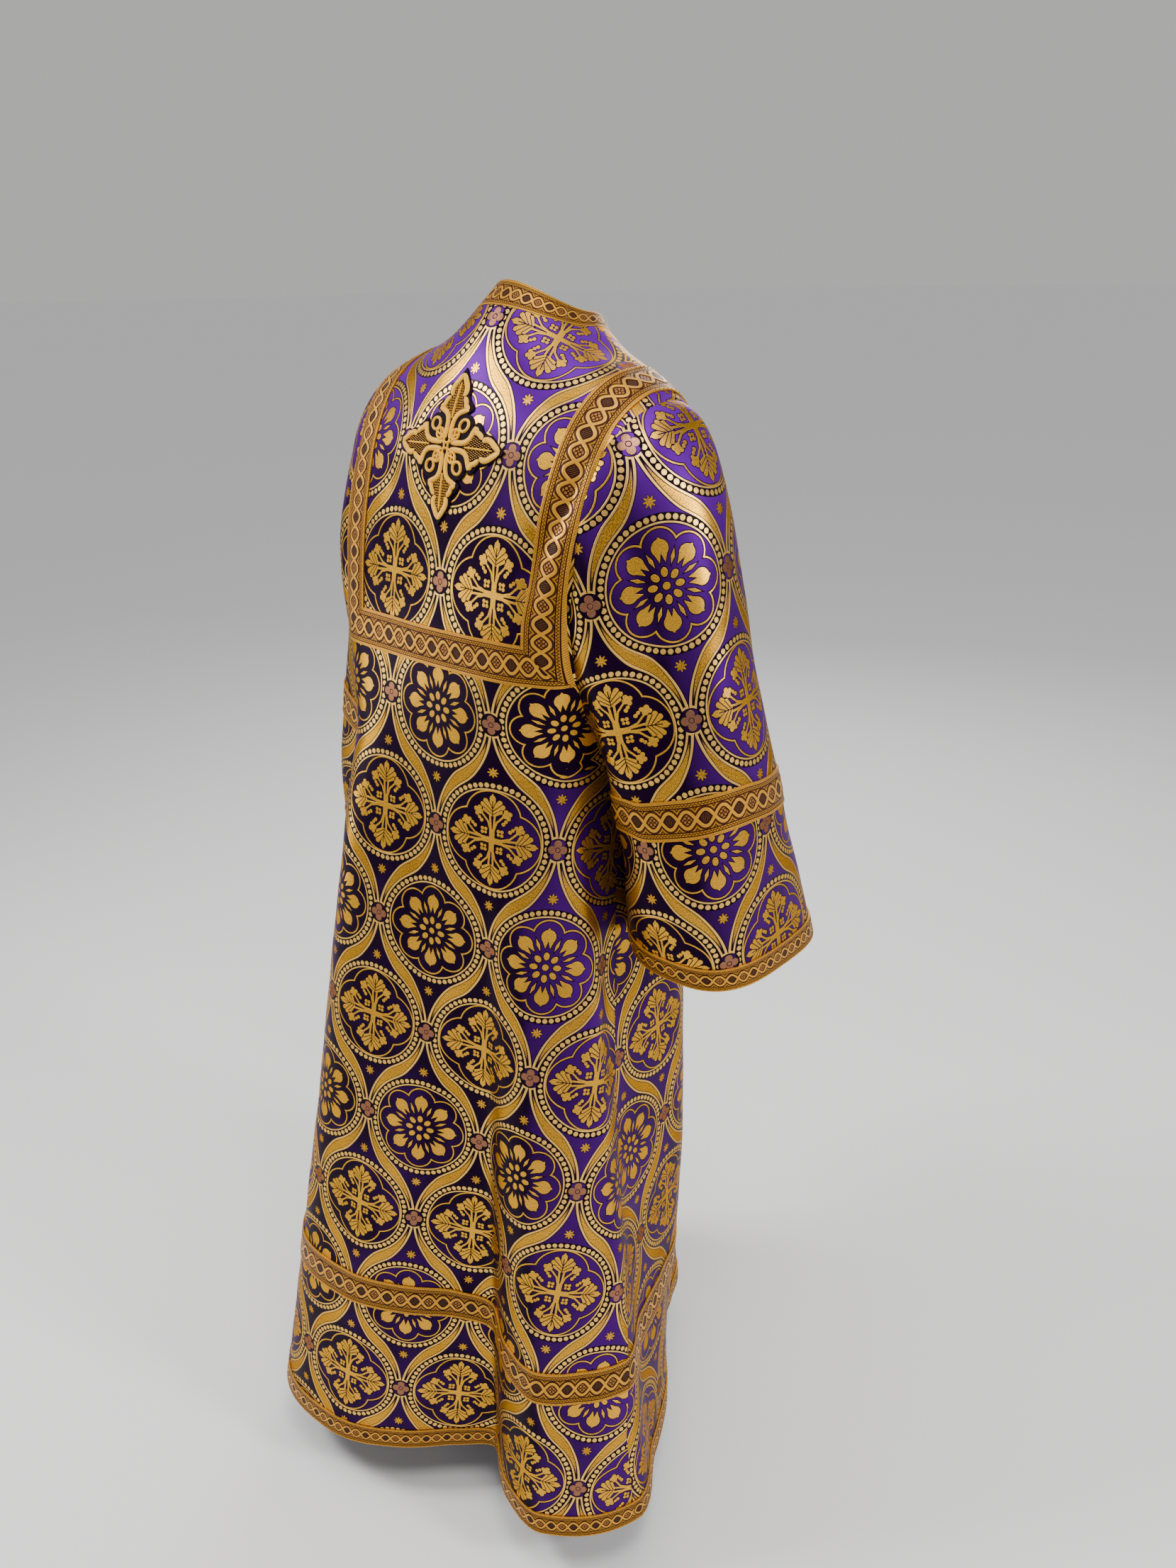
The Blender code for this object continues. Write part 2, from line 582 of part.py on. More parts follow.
def main():
    for thing in list(bpy.data.objects):
        bpy.data.objects.remove(thing, do_unlink=True)
    body_panel("body_back", "back")
    body_panel("body_front", "front")
    for side in ("right", "left"):
        sleeve_panel(side)
        sleeve_strip("sleeve_band_" + side, side, SLEEVE_BAND)
        sleeve_strip("cuff_band_" + side, side, CUFF_BAND)
    for which in ("back", "front"):
        hem_strip("upper_hem_band_" + which, which, UPPER_BAND_TOP, UPPER_BAND_LOW)
        hem_strip("hem_band_" + which, which, HEM_BAND_TOP, HEM_Z)
        yoke_band_across(which)
    for side in ("right", "left"):
        yoke_band(side)
    collar()
    cross_layer("cross_ground", cross_outline(GROUND_ARM, GROUND_LOBE), GAP, GAP + APPLIQUE, GROUND)
    cross_layer("cross_gold", cross_outline(GOLD_ARM, GOLD_LOBE), 2 * GAP + APPLIQUE,
                2 * GAP + APPLIQUE + EMBROIDERY, THREAD)


main()
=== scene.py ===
# Dalmatic: a worn, hollow tunic of purple and gold figured brocade with galloon bands.
# Metres, +Z up, the back faces +Y, the wearer's right is -X.
import math
import bpy
import bmesh
import numpy as np
from mathutils import Matrix, Vector
from mathutils.bvhtree import BVHTree


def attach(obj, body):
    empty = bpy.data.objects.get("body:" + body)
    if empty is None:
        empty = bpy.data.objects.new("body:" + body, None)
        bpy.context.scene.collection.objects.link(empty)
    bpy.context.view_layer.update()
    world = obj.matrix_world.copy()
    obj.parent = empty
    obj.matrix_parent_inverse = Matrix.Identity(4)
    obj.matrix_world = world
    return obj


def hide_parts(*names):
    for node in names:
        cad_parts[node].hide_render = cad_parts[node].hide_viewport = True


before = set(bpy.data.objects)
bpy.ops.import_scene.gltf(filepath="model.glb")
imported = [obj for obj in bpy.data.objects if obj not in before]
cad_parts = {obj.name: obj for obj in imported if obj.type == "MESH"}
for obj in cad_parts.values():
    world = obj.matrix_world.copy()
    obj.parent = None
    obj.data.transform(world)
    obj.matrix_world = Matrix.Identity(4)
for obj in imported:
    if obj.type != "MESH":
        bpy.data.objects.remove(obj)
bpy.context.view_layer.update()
print("frame loaded")

# one dictionary for the cloth and the cut of the whole tunic
cloth = dict(
    thickness=0.0020, galloon=0.0010, gap=0.0003, seam=0.00016,
    underarmZ=-0.440, hemZ=-1.380, upperBandTop=-1.154, upperBandLow=-1.196, hemBandTop=-1.353,
    shoulderSlope=0.05, slopeEnd=-0.36, slopeOver=0.30,   # the left shoulder hangs a little higher
    seamTop=90.0, seamRight=63.0, seamLeft=-76.0,   # directions of the side seams at armpit and hem
    seamSpeed=1.15, seamBend=0.8,
    lookAhead=0.11,           # how far down the skirt the yoke's curve looks for its way on
)

# the yoke from the neck to the underarm: half width, back depth, front depth, middle y,
# height at the side, back and front, squareness
yokeRows = (
    (0.069, 0.070, 0.068, -0.034, -0.009, 0.009, -0.042, 1.00),
    (0.098, 0.089, 0.083, -0.034, -0.027, -0.016, -0.088, 1.00),
    (0.141, 0.102, 0.096, -0.026, -0.043, -0.054, -0.134, 0.97),
    (0.180, 0.117, 0.106, -0.014, -0.061, -0.112, -0.182, 0.92),
    (0.205, 0.128, 0.114, -0.006, -0.088, -0.184, -0.232, 0.82),
    (0.212, 0.136, 0.120, 0.000, -0.155, -0.270, -0.290, 0.71),
    (0.186, 0.141, 0.124, 0.002, -0.285, -0.350, -0.358, 0.69),
    (0.144, 0.146, 0.126, 0.004, -0.440, -0.440, -0.440, 0.82),
)
lastRow = len(yokeRows) - 1
hip = dict(direction=128.0, width=34.0, depth=0.030)
backFullness = dict(direction=-44.0, width=24.0, rows={5: 0.006, 6: 0.020, 7: 0.046})

# the hem seen from above: direction from the back to the wearer's right, radius, lateness of the flare
hemRows = (
    (-92, 0.232, 1.8), (-74, 0.292, 1.3), (-50, 0.372, 1.0), (-37, 0.384, 1.0), (-19, 0.339, 1.1),
    (-5, 0.277, 1.1), (8, 0.222, 1.1), (20, 0.200, 1.1), (31, 0.262, 1.1), (41, 0.302, 1.1),
    (54, 0.309, 1.1), (64, 0.304, 1.1), (76, 0.241, 1.4), (92, 0.199, 1.7), (112, 0.162, 1.2),
    (132, 0.149, 0.9), (152, 0.178, 0.9), (168, 0.214, 1.1), (184, 0.196, 1.2), (200, 0.214, 1.2),
    (218, 0.288, 1.1), (236, 0.296, 1.2), (252, 0.226, 1.5),
)
# the armhole from the shoulder to the underarm: angle, direction, yoke row
armholeRows = (
    (0, 90, 3.20), (20, 70, 3.42), (40, 53, 3.95), (65, 46, 4.70), (90, 47, 5.40),
    (115, 54, 6.00), (140, 66, 6.50), (160, 78, 6.85), (180, 90, 7.00),
)
# the sleeve's lengthwise lines: angle, start direction x y z, its strength, middle point x y z,
# strength of the fall to the cuff
sleeveRows = (
    (0, -0.95, 0.00, -0.31, 0.17, -0.273, -0.008, -0.330, 0.34),
    (45, -0.96, 0.05, -0.28, 0.15, -0.252, 0.046, -0.370, 0.32),
    (90, -0.96, 0.05, -0.28, 0.12, -0.206, 0.064, -0.450, 0.22),
    (135, -0.86, -0.08, -0.50, 0.08, -0.172, 0.044, -0.520, 0.16),
    (180, -0.97, 0.00, -0.24, 0.07, -0.163, -0.012, -0.530, 0.10),
    (225, -0.86, 0.00, -0.50, 0.08, -0.170, -0.072, -0.520, 0.16),
    (270, -0.90, 0.05, -0.44, 0.12, -0.200, -0.100, -0.450, 0.22),
    (315, -0.96, 0.00, -0.28, 0.13, -0.257, -0.084, -0.390, 0.32),
)
cuff = dict(x=-0.234, y=-0.055, z=-0.654, halfWidth=0.079, halfDepth=0.103, rise=0.018, squareness=0.66,
            leftSpread=0.055, middleSpread=0.6, fall=(-0.10, -0.22, -1.0))
# how far the band over the hem climbs, at each direction
bandRise = dict(height=0.030, start=0.88,
                rows=((-110, 0.5), (-60, 1.0), (0, 1.0), (42, 0.0), (140, 0.0), (200, 0.4)))
sleeveCut = dict(bandFrom=0.185, bandTo=0.143, cuffBand=0.027, climb=0.040)
yokeBands = dict(width=0.041, eye=18.0, topX=0.156, topZ=-0.050, lowX=0.138, lowZ=-0.313, turnZ=-0.34,
                 points=430, levelPoints=200)

# soft creases in metres of cloth: from u v to u v, height (a trough is below 0), half width
creases = dict(
    back=(
        (0.150, 0.330, 0.128, 0.190, -0.0050, 0.013),
        (0.172, 0.250, 0.150, 0.060, 0.0035, 0.014),
        (0.100, 0.020, 0.120, -0.330, -0.0025, 0.022),
        (-0.020, -0.080, -0.060, -0.520, -0.0030, 0.030),
        (0.040, -0.250, 0.045, -0.700, -0.0035, 0.026),
        (-0.140, -0.020, -0.200, -0.480, 0.0030, 0.030),
        (-0.260, -0.300, -0.330, -0.780, -0.0035, 0.028),
        (0.205, -0.120, 0.230, -0.420, 0.0030, 0.022),
        (0.262, -0.420, 0.290, -0.800, -0.0030, 0.022),
        (-0.110, 0.300, -0.030, 0.190, -0.0014, 0.018),
        (0.060, 0.160, -0.040, 0.130, 0.0012, 0.016),
    ),
    front=(
        (0.120, 0.200, 0.140, 0.020, -0.0040, 0.016),
        (-0.120, 0.210, -0.140, 0.010, -0.0036, 0.016),
        (0.030, 0.060, 0.060, -0.420, -0.0030, 0.030),
        (-0.080, -0.060, -0.090, -0.620, 0.0030, 0.028),
        (0.150, -0.120, 0.210, -0.700, -0.0032, 0.026),
        (-0.190, -0.200, -0.240, -0.760, -0.0030, 0.026),
    ),
    sleeve=(
        (0.110, -0.080, 0.100, -0.330, -0.0045, 0.018),
        (-0.105, -0.080, -0.110, -0.300, -0.0040, 0.020),
        (0.030, -0.060, 0.045, -0.240, 0.0018, 0.020),
        (0.150, -0.300, 0.165, -0.560, 0.0030, 0.022),
        (-0.060, -0.330, -0.050, -0.590, -0.0020, 0.026),
        (-0.170, -0.280, -0.185, -0.540, 0.0030, 0.024),
    ),
)
# rows and columns of the cloth's grids
fineness = dict(columns=112, frontColumns=120, neckRows=20, armRows=44, skirtRows=74, bandRows=6, lowRows=16,
                edgeRows=5, sleeveColumns=96, sleeveRows=54, sleeveGapRows=14, seamColumns=6.0)


def unit(v):
    return v / np.linalg.norm(v, axis=-1, keepdims=True)


def lengthAlong(points):
    # the length passed at each point of a line
    return np.concatenate([[0.0], np.cumsum(np.linalg.norm(np.diff(points, axis=0), axis=-1))])


def pickAlong(at, length, points):
    return np.stack([np.interp(at, length, points[:, k]) for k in range(3)], -1)


def ease(w):
    return w * w * (3 - 2 * w)


def sineAndCosine(degrees):
    return np.sin(np.radians(degrees)), np.cos(np.radians(degrees))


def powered(value, power):
    # turns a circle squarer when power is below 1
    return np.sign(value) * np.abs(value)**power


def betweenPoints(w, p, m, q, n):
    # a curve from p, leaving along m, to q, arriving along n
    return ((2 * w**3 - 3 * w**2 + 1) * p + (w**3 - 2 * w**2 + w) * m
            + (3 * w**2 - 2 * w**3) * q + (w**3 - w**2) * n)


def throughPoints(w, a, b, c, d):
    # a curve from b to c, with a before and d after them
    return 0.5 * (2 * b + (c - a) * w + (2 * a - 5 * b + 4 * c - d) * w**2 + (3 * b - a - 3 * c + d) * w**3)


def readTable(rows, column, at, period=None, levelEnds=False):
    # reads one column of a table at any value of its first column, without overshoot
    x = np.array([row[0] for row in rows], float)
    y = np.array([row[column] for row in rows], float)
    at = np.asarray(at, float)
    if period:
        at = (at - x[0]) % period + x[0]
        x = np.concatenate([x[-2:] - period, x, x[:2] + period])
        y = np.concatenate([y[-2:], y, y[:2]])
    step = np.diff(x)
    rise = np.diff(y) / step
    slope = np.zeros_like(y)
    same = rise[:-1] * rise[1:] > 0
    slope[1:-1][same] = 2.0 / (1.0 / rise[:-1][same] + 1.0 / rise[1:][same])
    slope[0], slope[-1] = rise[0], rise[-1]
    if levelEnds:
        slope[0] = slope[-1] = 0.0
    k = np.clip(np.searchsorted(x, at, side="right") - 1, 0, len(step) - 1)
    w = (at - x[k]) / step[k]
    return betweenPoints(w, y[k], step[k] * slope[k], y[k + 1], step[k] * slope[k + 1])


def awayFrom(direction, middle):
    return (direction - middle + 180.0) % 360.0 - 180.0


def yokeRing(row, direction):
    half, back, front, middle, sideZ, backZ, frontZ, square = row
    s, c = sineAndCosine(direction)
    depth, endZ = np.where(c >= 0, back, front), np.where(c >= 0, backZ, frontZ)
    off = awayFrom(direction, backFullness["direction"]) / backFullness["width"]
    full = backFullness["rows"].get(yokeRows.index(row), 0.0) * np.exp(-off**2)
    x = -half * powered(s, square) - full * s
    y = middle + depth * powered(c, square) + full * c
    slope = cloth["shoulderSlope"] * min(1.0, max(0.0, (sideZ - cloth["slopeEnd"]) / cloth["slopeOver"]))
    return np.stack([x, y, sideZ * s * s + endZ * c * c + slope * x], -1)


def skirt(direction, fall):
    # the cloth below the underarm: fall is 0 there and 1 at the hem
    top = yokeRing(yokeRows[lastRow], direction)
    radius, late = readTable(hemRows, 1, direction, 360.0), readTable(hemRows, 2, direction, 360.0)
    s, c = sineAndCosine(direction)
    hem = np.stack([-radius * s, radius * c, np.full_like(radius, cloth["hemZ"])], -1)
    point = top + (hem - top) * (fall**late)[..., None]
    off = awayFrom(direction, hip["direction"]) / hip["width"]
    full = hip["depth"] * np.exp(-off**2) * np.sin(np.pi * fall)
    point[..., 0] -= full * s
    point[..., 1] += full * c
    point[..., 2] = cloth["underarmZ"] + (cloth["hemZ"] - cloth["underarmZ"]) * fall
    return point


def body(direction, row):
    # a point of the tunic's body: the yoke's rows, then one more row down to the hem
    direction, row = np.broadcast_arrays(np.asarray(direction, float), np.asarray(row, float))
    rings = [yokeRing(r, direction) for r in yokeRows]
    rings.append(skirt(direction, np.full(direction.shape, cloth["lookAhead"])))
    rings.insert(0, 2 * rings[0] - rings[1])
    rings = np.stack(rings)
    k = np.clip(np.floor(row), 0, lastRow - 1).astype(int)
    w = (row - k)[..., None]
    place = tuple(np.indices(direction.shape))
    p0, p1, p2, p3 = (rings[(k + i,) + place] for i in range(4))
    yoke = throughPoints(w, p0, p1, p2, p3)
    return np.where((row > lastRow)[..., None], skirt(direction, np.clip(row - lastRow, 0.0, 1.0)), yoke)


def surfaceNormals(surface, a, b, da, db):
    alongA = surface(a + da, b) - surface(a - da, b)
    alongB = surface(a, b + db) - surface(a, b - db)
    return unit(np.cross(alongB, alongA))


def bodyNormals(direction, row):
    return surfaceNormals(body, direction, np.clip(row, 0.004, lastRow + 0.996), 0.4, 0.004)


def armPlace(angle, side):
    angle = np.asarray(angle, float) % 360.0
    half = np.where(angle > 180.0, 360.0 - angle, angle)
    direction = readTable(armholeRows, 1, half)
    direction = np.where(angle > 180.0, 180.0 - direction, direction)
    return direction * (1.0 if side == "right" else -1.0), readTable(armholeRows, 2, half, levelEnds=True)


def cuffEdge(angle):
    s, c = sineAndCosine(angle)
    square = cuff["squareness"]
    return np.stack([cuff["x"] - cuff["halfWidth"] * powered(c, square),
                     cuff["y"] + cuff["halfDepth"] * powered(s, square),
                     cuff["z"] + cuff["rise"] * np.clip(-c, 0, 1)], -1)


def sleeve(angle, along, side):
    # angle round the arm, along from the armhole (0) to the cuff (1)
    angle, along = np.broadcast_arrays(np.asarray(angle, float), np.asarray(along, float))
    column = [readTable(sleeveRows, i, angle, 360.0)[..., None] for i in range(1, 9)]
    flip = np.array([1.0 if side == "right" else -1.0, 1.0, 1.0])
    spread = np.array([0.0 if side == "right" else cuff["leftSpread"], 0.0, 0.0])
    start, end = body(*armPlace(angle, side)), cuffEdge(angle) * flip + spread
    lead = np.concatenate(column[0:3], -1) * flip
    lead = unit(lead) * column[3]
    middle = np.concatenate(column[4:7], -1) * flip + spread * cuff["middleSpread"]
    passBy = (end - start) * 0.5
    fall = np.array(cuff["fall"]) * flip * column[7]
    first = (along < 0.5)[..., None]
    p, q = np.where(first, start, middle), np.where(first, middle, end)
    m, n = np.where(first, lead, passBy), np.where(first, passBy, fall)
    w = np.where(along < 0.5, along * 2.0, along * 2.0 - 1.0)[..., None]
    return betweenPoints(w, p, m, q, n)


# flattening: the cut of each piece, worked out from its worn shape, gives the weave its place
def relax(points, flat, rounds):
    pairs = []
    count = np.zeros(points.shape[:2] + (1,))
    for a, b in ((np.s_[:, :-1], np.s_[:, 1:]), (np.s_[:-1, :], np.s_[1:, :]),
                 (np.s_[:-1, :-1], np.s_[1:, 1:]), (np.s_[:-1, 1:], np.s_[1:, :-1])):
        pairs.append((a, b, np.linalg.norm(points[b] - points[a], axis=-1)))
        count[a] += 1
        count[b] += 1
    for _ in range(rounds):
        move = np.zeros_like(flat)
        for a, b, rest in pairs:
            way = flat[b] - flat[a]
            length = np.linalg.norm(way, axis=-1)
            push = way * ((length - rest) / np.maximum(length, 1e-9) * 0.5)[..., None]
            move[a] += push
            move[b] -= push
        flat = flat + move / count * 1.6
    return flat


def firstFlat(points, fromCuff):
    step = np.linalg.norm(np.diff(points, axis=1), axis=-1)
    u = np.concatenate([np.zeros((len(points), 1)), np.cumsum(step, axis=1)], 1)
    u -= u[:, points.shape[1] // 2][:, None]
    if fromCuff:
        u = u[-1][None, :] * np.linspace(0.8, 1.0, len(points))[:, None]
        up = np.cumsum(np.linalg.norm(np.diff(points[::-1], axis=0), axis=-1), axis=0)
        v = np.concatenate([np.zeros((1, points.shape[1])), up])[::-1]
    else:
        down = np.cumsum(np.linalg.norm(np.diff(points, axis=0), axis=-1), axis=0)
        v = -np.concatenate([np.zeros((1, points.shape[1])), down])
    return np.stack([u, v], -1)


def flatten(points, fromCuff=False, top=None, zero=None):
    # relaxes on coarse grids first, then turns the middle line upright with v 0 at a given row
    flat, old = None, None
    rows, columns = points.shape[:2]
    for level, rounds in ((4, 1800), (2, 500), (1, 120)):
        ri = np.unique(np.append(np.arange(0, rows, level), rows - 1))
        ci = np.unique(np.append(np.arange(0, columns, level), columns - 1))
        part = points[np.ix_(ri, ci)]
        if flat is None:
            flat = firstFlat(part, fromCuff)
        else:
            across = np.stack([[np.interp(ci, old[1], line) for line in flat[..., k]] for k in (0, 1)], -1)
            flat = np.stack([np.array([np.interp(ri, old[0], line) for line in across[..., k].T]).T
                             for k in (0, 1)], -1)
        flat = relax(part, flat, rounds)
        old = (ri, ci)
    way = flat[top] - flat[-1, top[1]]
    way /= np.linalg.norm(way)
    return (flat - flat[zero]) @ np.array([[way[1], way[0]], [-way[0], way[1]]])


def gridNormals(points, like):
    # normals of a grid, on the same side as the given ones
    n = unit(np.cross(np.gradient(points, axis=0), np.gradient(points, axis=1)))
    return n * np.sign((n * like).sum(-1, keepdims=True))


waves = dict(count=6, shortest=0.085, longer=0.028, height=0.00028)
creaseEnds = dict(overrun=0.15, fade=0.35, bend=0.010)


def softWaves(flat, seed):
    # the slight unevenness of lined cloth, as a sum of a few long waves
    u, v = flat[..., 0], flat[..., 1]
    height = np.zeros_like(u)
    for k in range(waves["count"]):
        turn = seed * 1.7 + k * 1.1
        across = u * math.cos(turn) + v * math.sin(turn)
        length = waves["shortest"] + waves["longer"] * k
        height += np.sin(across * 2 * math.pi / length + seed * 2.3 + k * 1.9)
    return height * waves["height"]


def seamFade(shape, topRows):
    # creases and waves die out before the seams, so that joined panels meet
    rows, columns = np.arange(shape[0]), np.arange(shape[1])
    atSides = np.clip(np.minimum(columns, columns[-1] - columns) / fineness["seamColumns"], 0, 1)[None, :]
    return ease(atSides * np.clip(rows / topRows, 0, 1)[:, None])


def creased(points, normal, flat, which, seed):
    height = softWaves(flat, seed)
    for u0, v0, u1, v1, depth, width in creases[which]:
        way = np.array([u1 - u0, v1 - v0])
        length = np.linalg.norm(way)
        way /= length
        off = flat - np.array([u0, v0])
        along = (off * way).sum(-1) / length
        bend = creaseEnds["bend"] * np.sin(along * math.pi * 1.5 + seed)
        across = off[..., 0] * way[1] - off[..., 1] * way[0] + bend
        start, end = along + creaseEnds["overrun"], 1 + creaseEnds["overrun"] - along
        fade = ease(np.clip(start / creaseEnds["fade"], 0, 1) * np.clip(end / creaseEnds["fade"], 0, 1))
        height += depth * fade * np.exp(-(across / width)**2)
    height *= seamFade(height.shape, 8.0 if which == "sleeve" else 5.0)
    return points + normal * height[..., None]


def pullBack(points):
    # draws a panel's sides and top in by a hair, so that joined panels don't overlap
    out = points.copy()

    def pull(edge, neighbour):
        return edge + unit(neighbour - edge) * cloth["seam"]

    out[:, 0], out[:, -1] = pull(points[:, 0], points[:, 1]), pull(points[:, -1], points[:, -2])
    out[0] = pull(out[0], out[1])
    return out


def bodyPanel(which):
    # the fine grid of the back or the front: points, normals, flat places and heights of its rows
    neck = np.linspace(0.0, armholeRows[0][2], fineness["neckRows"] + 1)[:-1]
    armAngles = np.linspace(0.0, 180.0, fineness["armRows"] + 1)
    armDirection, armRow = armPlace(armAngles, "right")
    stops = ((cloth["upperBandTop"], fineness["skirtRows"]), (cloth["upperBandLow"], fineness["bandRows"]),
             (cloth["hemBandTop"], fineness["lowRows"]), (cloth["hemZ"], fineness["edgeRows"]))
    heights, start = [], cloth["underarmZ"]
    for stop, parts in stops:
        heights += list(np.linspace(start, stop, parts + 1)[1:])
        start = stop
    low = lastRow + (cloth["underarmZ"] - np.array(heights)) / (cloth["underarmZ"] - cloth["hemZ"])
    rows = np.concatenate([neck, armRow, low])
    arm = slice(len(neck), len(neck) + len(armRow))
    edge = {}
    for side, atHem in (("right", cloth["seamRight"]), ("left", -cloth["seamLeft"])):
        edge[side] = np.full(len(rows), 90.0)
        edge[side][arm] = armDirection
        fall = np.minimum(1.0, (low - lastRow) * cloth["seamSpeed"])**cloth["seamBend"]
        edge[side][arm.stop:] = cloth["seamTop"] + (atHem - cloth["seamTop"]) * fall
    right, left = edge["right"], edge["left"]
    if which == "back":
        first, last, columns = -left, right, fineness["columns"]
    else:
        first, last, columns = right.copy(), 360.0 - left, fineness["frontColumns"]
        first[arm], last[arm] = 180.0 - right[arm], 180.0 + left[arm]
    directions = first[:, None] + (last - first)[:, None] * np.linspace(0.0, 1.0, columns + 1)
    height = cloth["underarmZ"] + (cloth["hemZ"] - cloth["underarmZ"]) * (rows - lastRow)
    weight = np.interp(-height, (bandRise["start"], -cloth["upperBandTop"], -cloth["upperBandLow"],
                                 -cloth["hemBandTop"]), (0, 1, 1, 0))
    rise = bandRise["height"] / (cloth["hemZ"] - cloth["underarmZ"]) * weight[:, None]
    rowGrid = rows[:, None] + rise * readTable(bandRise["rows"], 1, directions, 360.0)
    points, normal = body(directions, rowGrid), bodyNormals(directions, rowGrid)
    middle = 0.0 if which == "back" else 180.0
    centre = [int(np.argmin(np.abs(line - middle))) for line in directions]
    zero = arm.stop - 1
    flat = flatten(points, top=(0, centre[0]), zero=(zero, centre[zero]))
    seed = 1.0 if which == "back" else 2.0
    moved = pullBack(creased(points, normal, flat, which, seed))
    return dict(points=moved, normals=gridNormals(moved, normal), flat=flat, heights=height, yokeEnd=zero)


def sleevePanel(side):
    angles = np.linspace(-180.0, 180.0, fineness["sleeveColumns"] + 1)
    fine = np.linspace(0.0, 1.0, 81)
    columns = []
    for angle in angles:
        line = sleeve(np.full_like(fine, angle), fine, side)
        length = lengthAlong(line)
        climb = sleeveCut["climb"] * (1 + math.cos(math.radians(angle))) / 2
        end = length[-1]
        stops = ((end - sleeveCut["bandFrom"] - climb, fineness["sleeveRows"]),
                 (end - sleeveCut["bandTo"] - climb, fineness["bandRows"]),
                 (end - sleeveCut["cuffBand"], fineness["sleeveGapRows"]), (end, fineness["edgeRows"]))
        places, start = [0.0], 0.0
        for stop, parts in stops:
            places += list(np.linspace(start, stop, parts + 1)[1:])
            start = stop
        columns.append(np.interp(places, length, fine))
    along = np.array(columns).T
    angle = np.broadcast_to(angles, along.shape)
    points = sleeve(angle, along, side)
    outward = -1.0 if side == "right" else 1.0
    normal = outward * surfaceNormals(lambda a, b: sleeve(a, b, side), angle,
                                      np.clip(along, 0.004, 0.996), 1.0, 0.004)
    half = fineness["sleeveColumns"] // 2
    flat = flatten(points, fromCuff=True, top=(0, half), zero=(0, half))
    moved = creased(points, normal, flat, "sleeve", 3.0 if side == "right" else 4.0)
    turned = gridNormals(moved, normal)
    turned[:, 0] = turned[:, -1] = (turned[:, 0] + turned[:, -1]) / 2
    moved[:, 0] = moved[:, -1] = (moved[:, 0] + moved[:, -1]) / 2
    way = unit(moved[1] - moved[0])
    moved[0] += way * cloth["seam"]
    edge = bodyNormals(*armPlace(angles, side))
    valley = np.clip((way * edge).sum(-1, keepdims=True), 0.0, 1.0)
    turned[0] = edge + turned[0] * valley
    return dict(points=moved, normals=unit(turned), flat=flat)


def wall(name, points, normal, flat, low, high, closed=False, materials=()):
    # a thin closed wall through a grid of points, between two distances along its normals
    rows, columns = points.shape[:2]
    count = columns - 1 if closed else columns
    outer, inner = (points + normal * high)[:, :count], (points + normal * low)[:, :count]
    verts = np.concatenate([outer.reshape(-1, 3), inner.reshape(-1, 3)])
    i, j = np.meshgrid(np.arange(rows - 1), np.arange(columns - 1), indexing="ij")
    i, j = i.ravel(), j.ravel()
    k = (j + 1) % count
    under = rows * count
    quads = np.stack([i * count + j, i * count + k, (i + 1) * count + k, (i + 1) * count + j], -1)
    places = np.stack([i * columns + j, i * columns + j + 1, (i + 1) * columns + j + 1,
                       (i + 1) * columns + j], -1)
    middle = points[rows // 2:rows // 2 + 2, columns // 2:columns // 2 + 2]
    facing = np.cross(middle[0, 1] - middle[0, 0], middle[1, 0] - middle[0, 0])
    turned = facing @ normal[rows // 2, columns // 2] < 0
    if turned:
        quads, places = quads[:, ::-1], places[:, ::-1]
    faces = [quads, quads[:, ::-1] + under]
    flats = [places, places[:, ::-1]]

    def rim(a, b, pa, pb, flip):
        strip, place = np.stack([a, b, b + under, a + under], -1), np.stack([pa, pb, pb, pa], -1)
        flip = flip != turned
        faces.append(strip[:, ::-1] if flip else strip)
        flats.append(place[:, ::-1] if flip else place)

    j = np.arange(columns - 1)
    k = (j + 1) % count
    last = rows - 1
    rim(j, k, j, j + 1, True)
    rim(last * count + j, last * count + k, last * columns + j, last * columns + j + 1, False)
    if not closed:
        i = np.arange(rows - 1)
        rim(i * count, (i + 1) * count, i * columns, (i + 1) * columns, False)
        end = columns - 1
        rim(i * count + end, (i + 1) * count + end, i * columns + end, (i + 1) * columns + end, True)
    allFaces, allPlaces = np.concatenate(faces), np.concatenate(flats)
    mesh = bpy.data.meshes.new(name)
    mesh.from_pydata(verts.tolist(), [], allFaces.tolist())
    layer = mesh.uv_layers.new(name="cloth")
    layer.data.foreach_set("uv", flat.reshape(-1, 2)[allPlaces.ravel()].ravel())
    return finishMesh(name, mesh, materials, len(quads))


def addObject(name, data):
    thing = bpy.data.objects.new(name, data)
    bpy.context.scene.collection.objects.link(thing)
    return thing


def finishMesh(name, mesh, materials, outerFaces=None):
    for each in materials:
        mesh.materials.append(each)
    if outerFaces and len(materials) > 1:
        slots = np.zeros(len(mesh.polygons), int)
        slots[outerFaces:2 * outerFaces] = 1
        mesh.polygons.foreach_set("material_index", slots)
    mesh.shade_smooth()
    mesh.set_sharp_from_angle(angle=math.radians(50))
    mesh.update()
    return addObject(name, mesh)


pieces = {}


def settle(piece, node):
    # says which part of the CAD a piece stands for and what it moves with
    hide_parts(node)
    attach(piece, "root")
    pieces[node] = piece


def clothSize(panel):
    # width, length and area of the flat cut
    flat = panel["flat"]
    a, b, c, d = flat[:-1, :-1], flat[:-1, 1:], flat[1:, 1:], flat[1:, :-1]
    p, q = c - a, d - b
    area = np.abs(p[..., 0] * q[..., 1] - p[..., 1] * q[..., 0]).sum() / 2
    extent = flat.reshape(-1, 2).max(0) - flat.reshape(-1, 2).min(0)
    return (round(float(extent[0]), 3), round(float(extent[1]), 3)), round(float(area), 4)


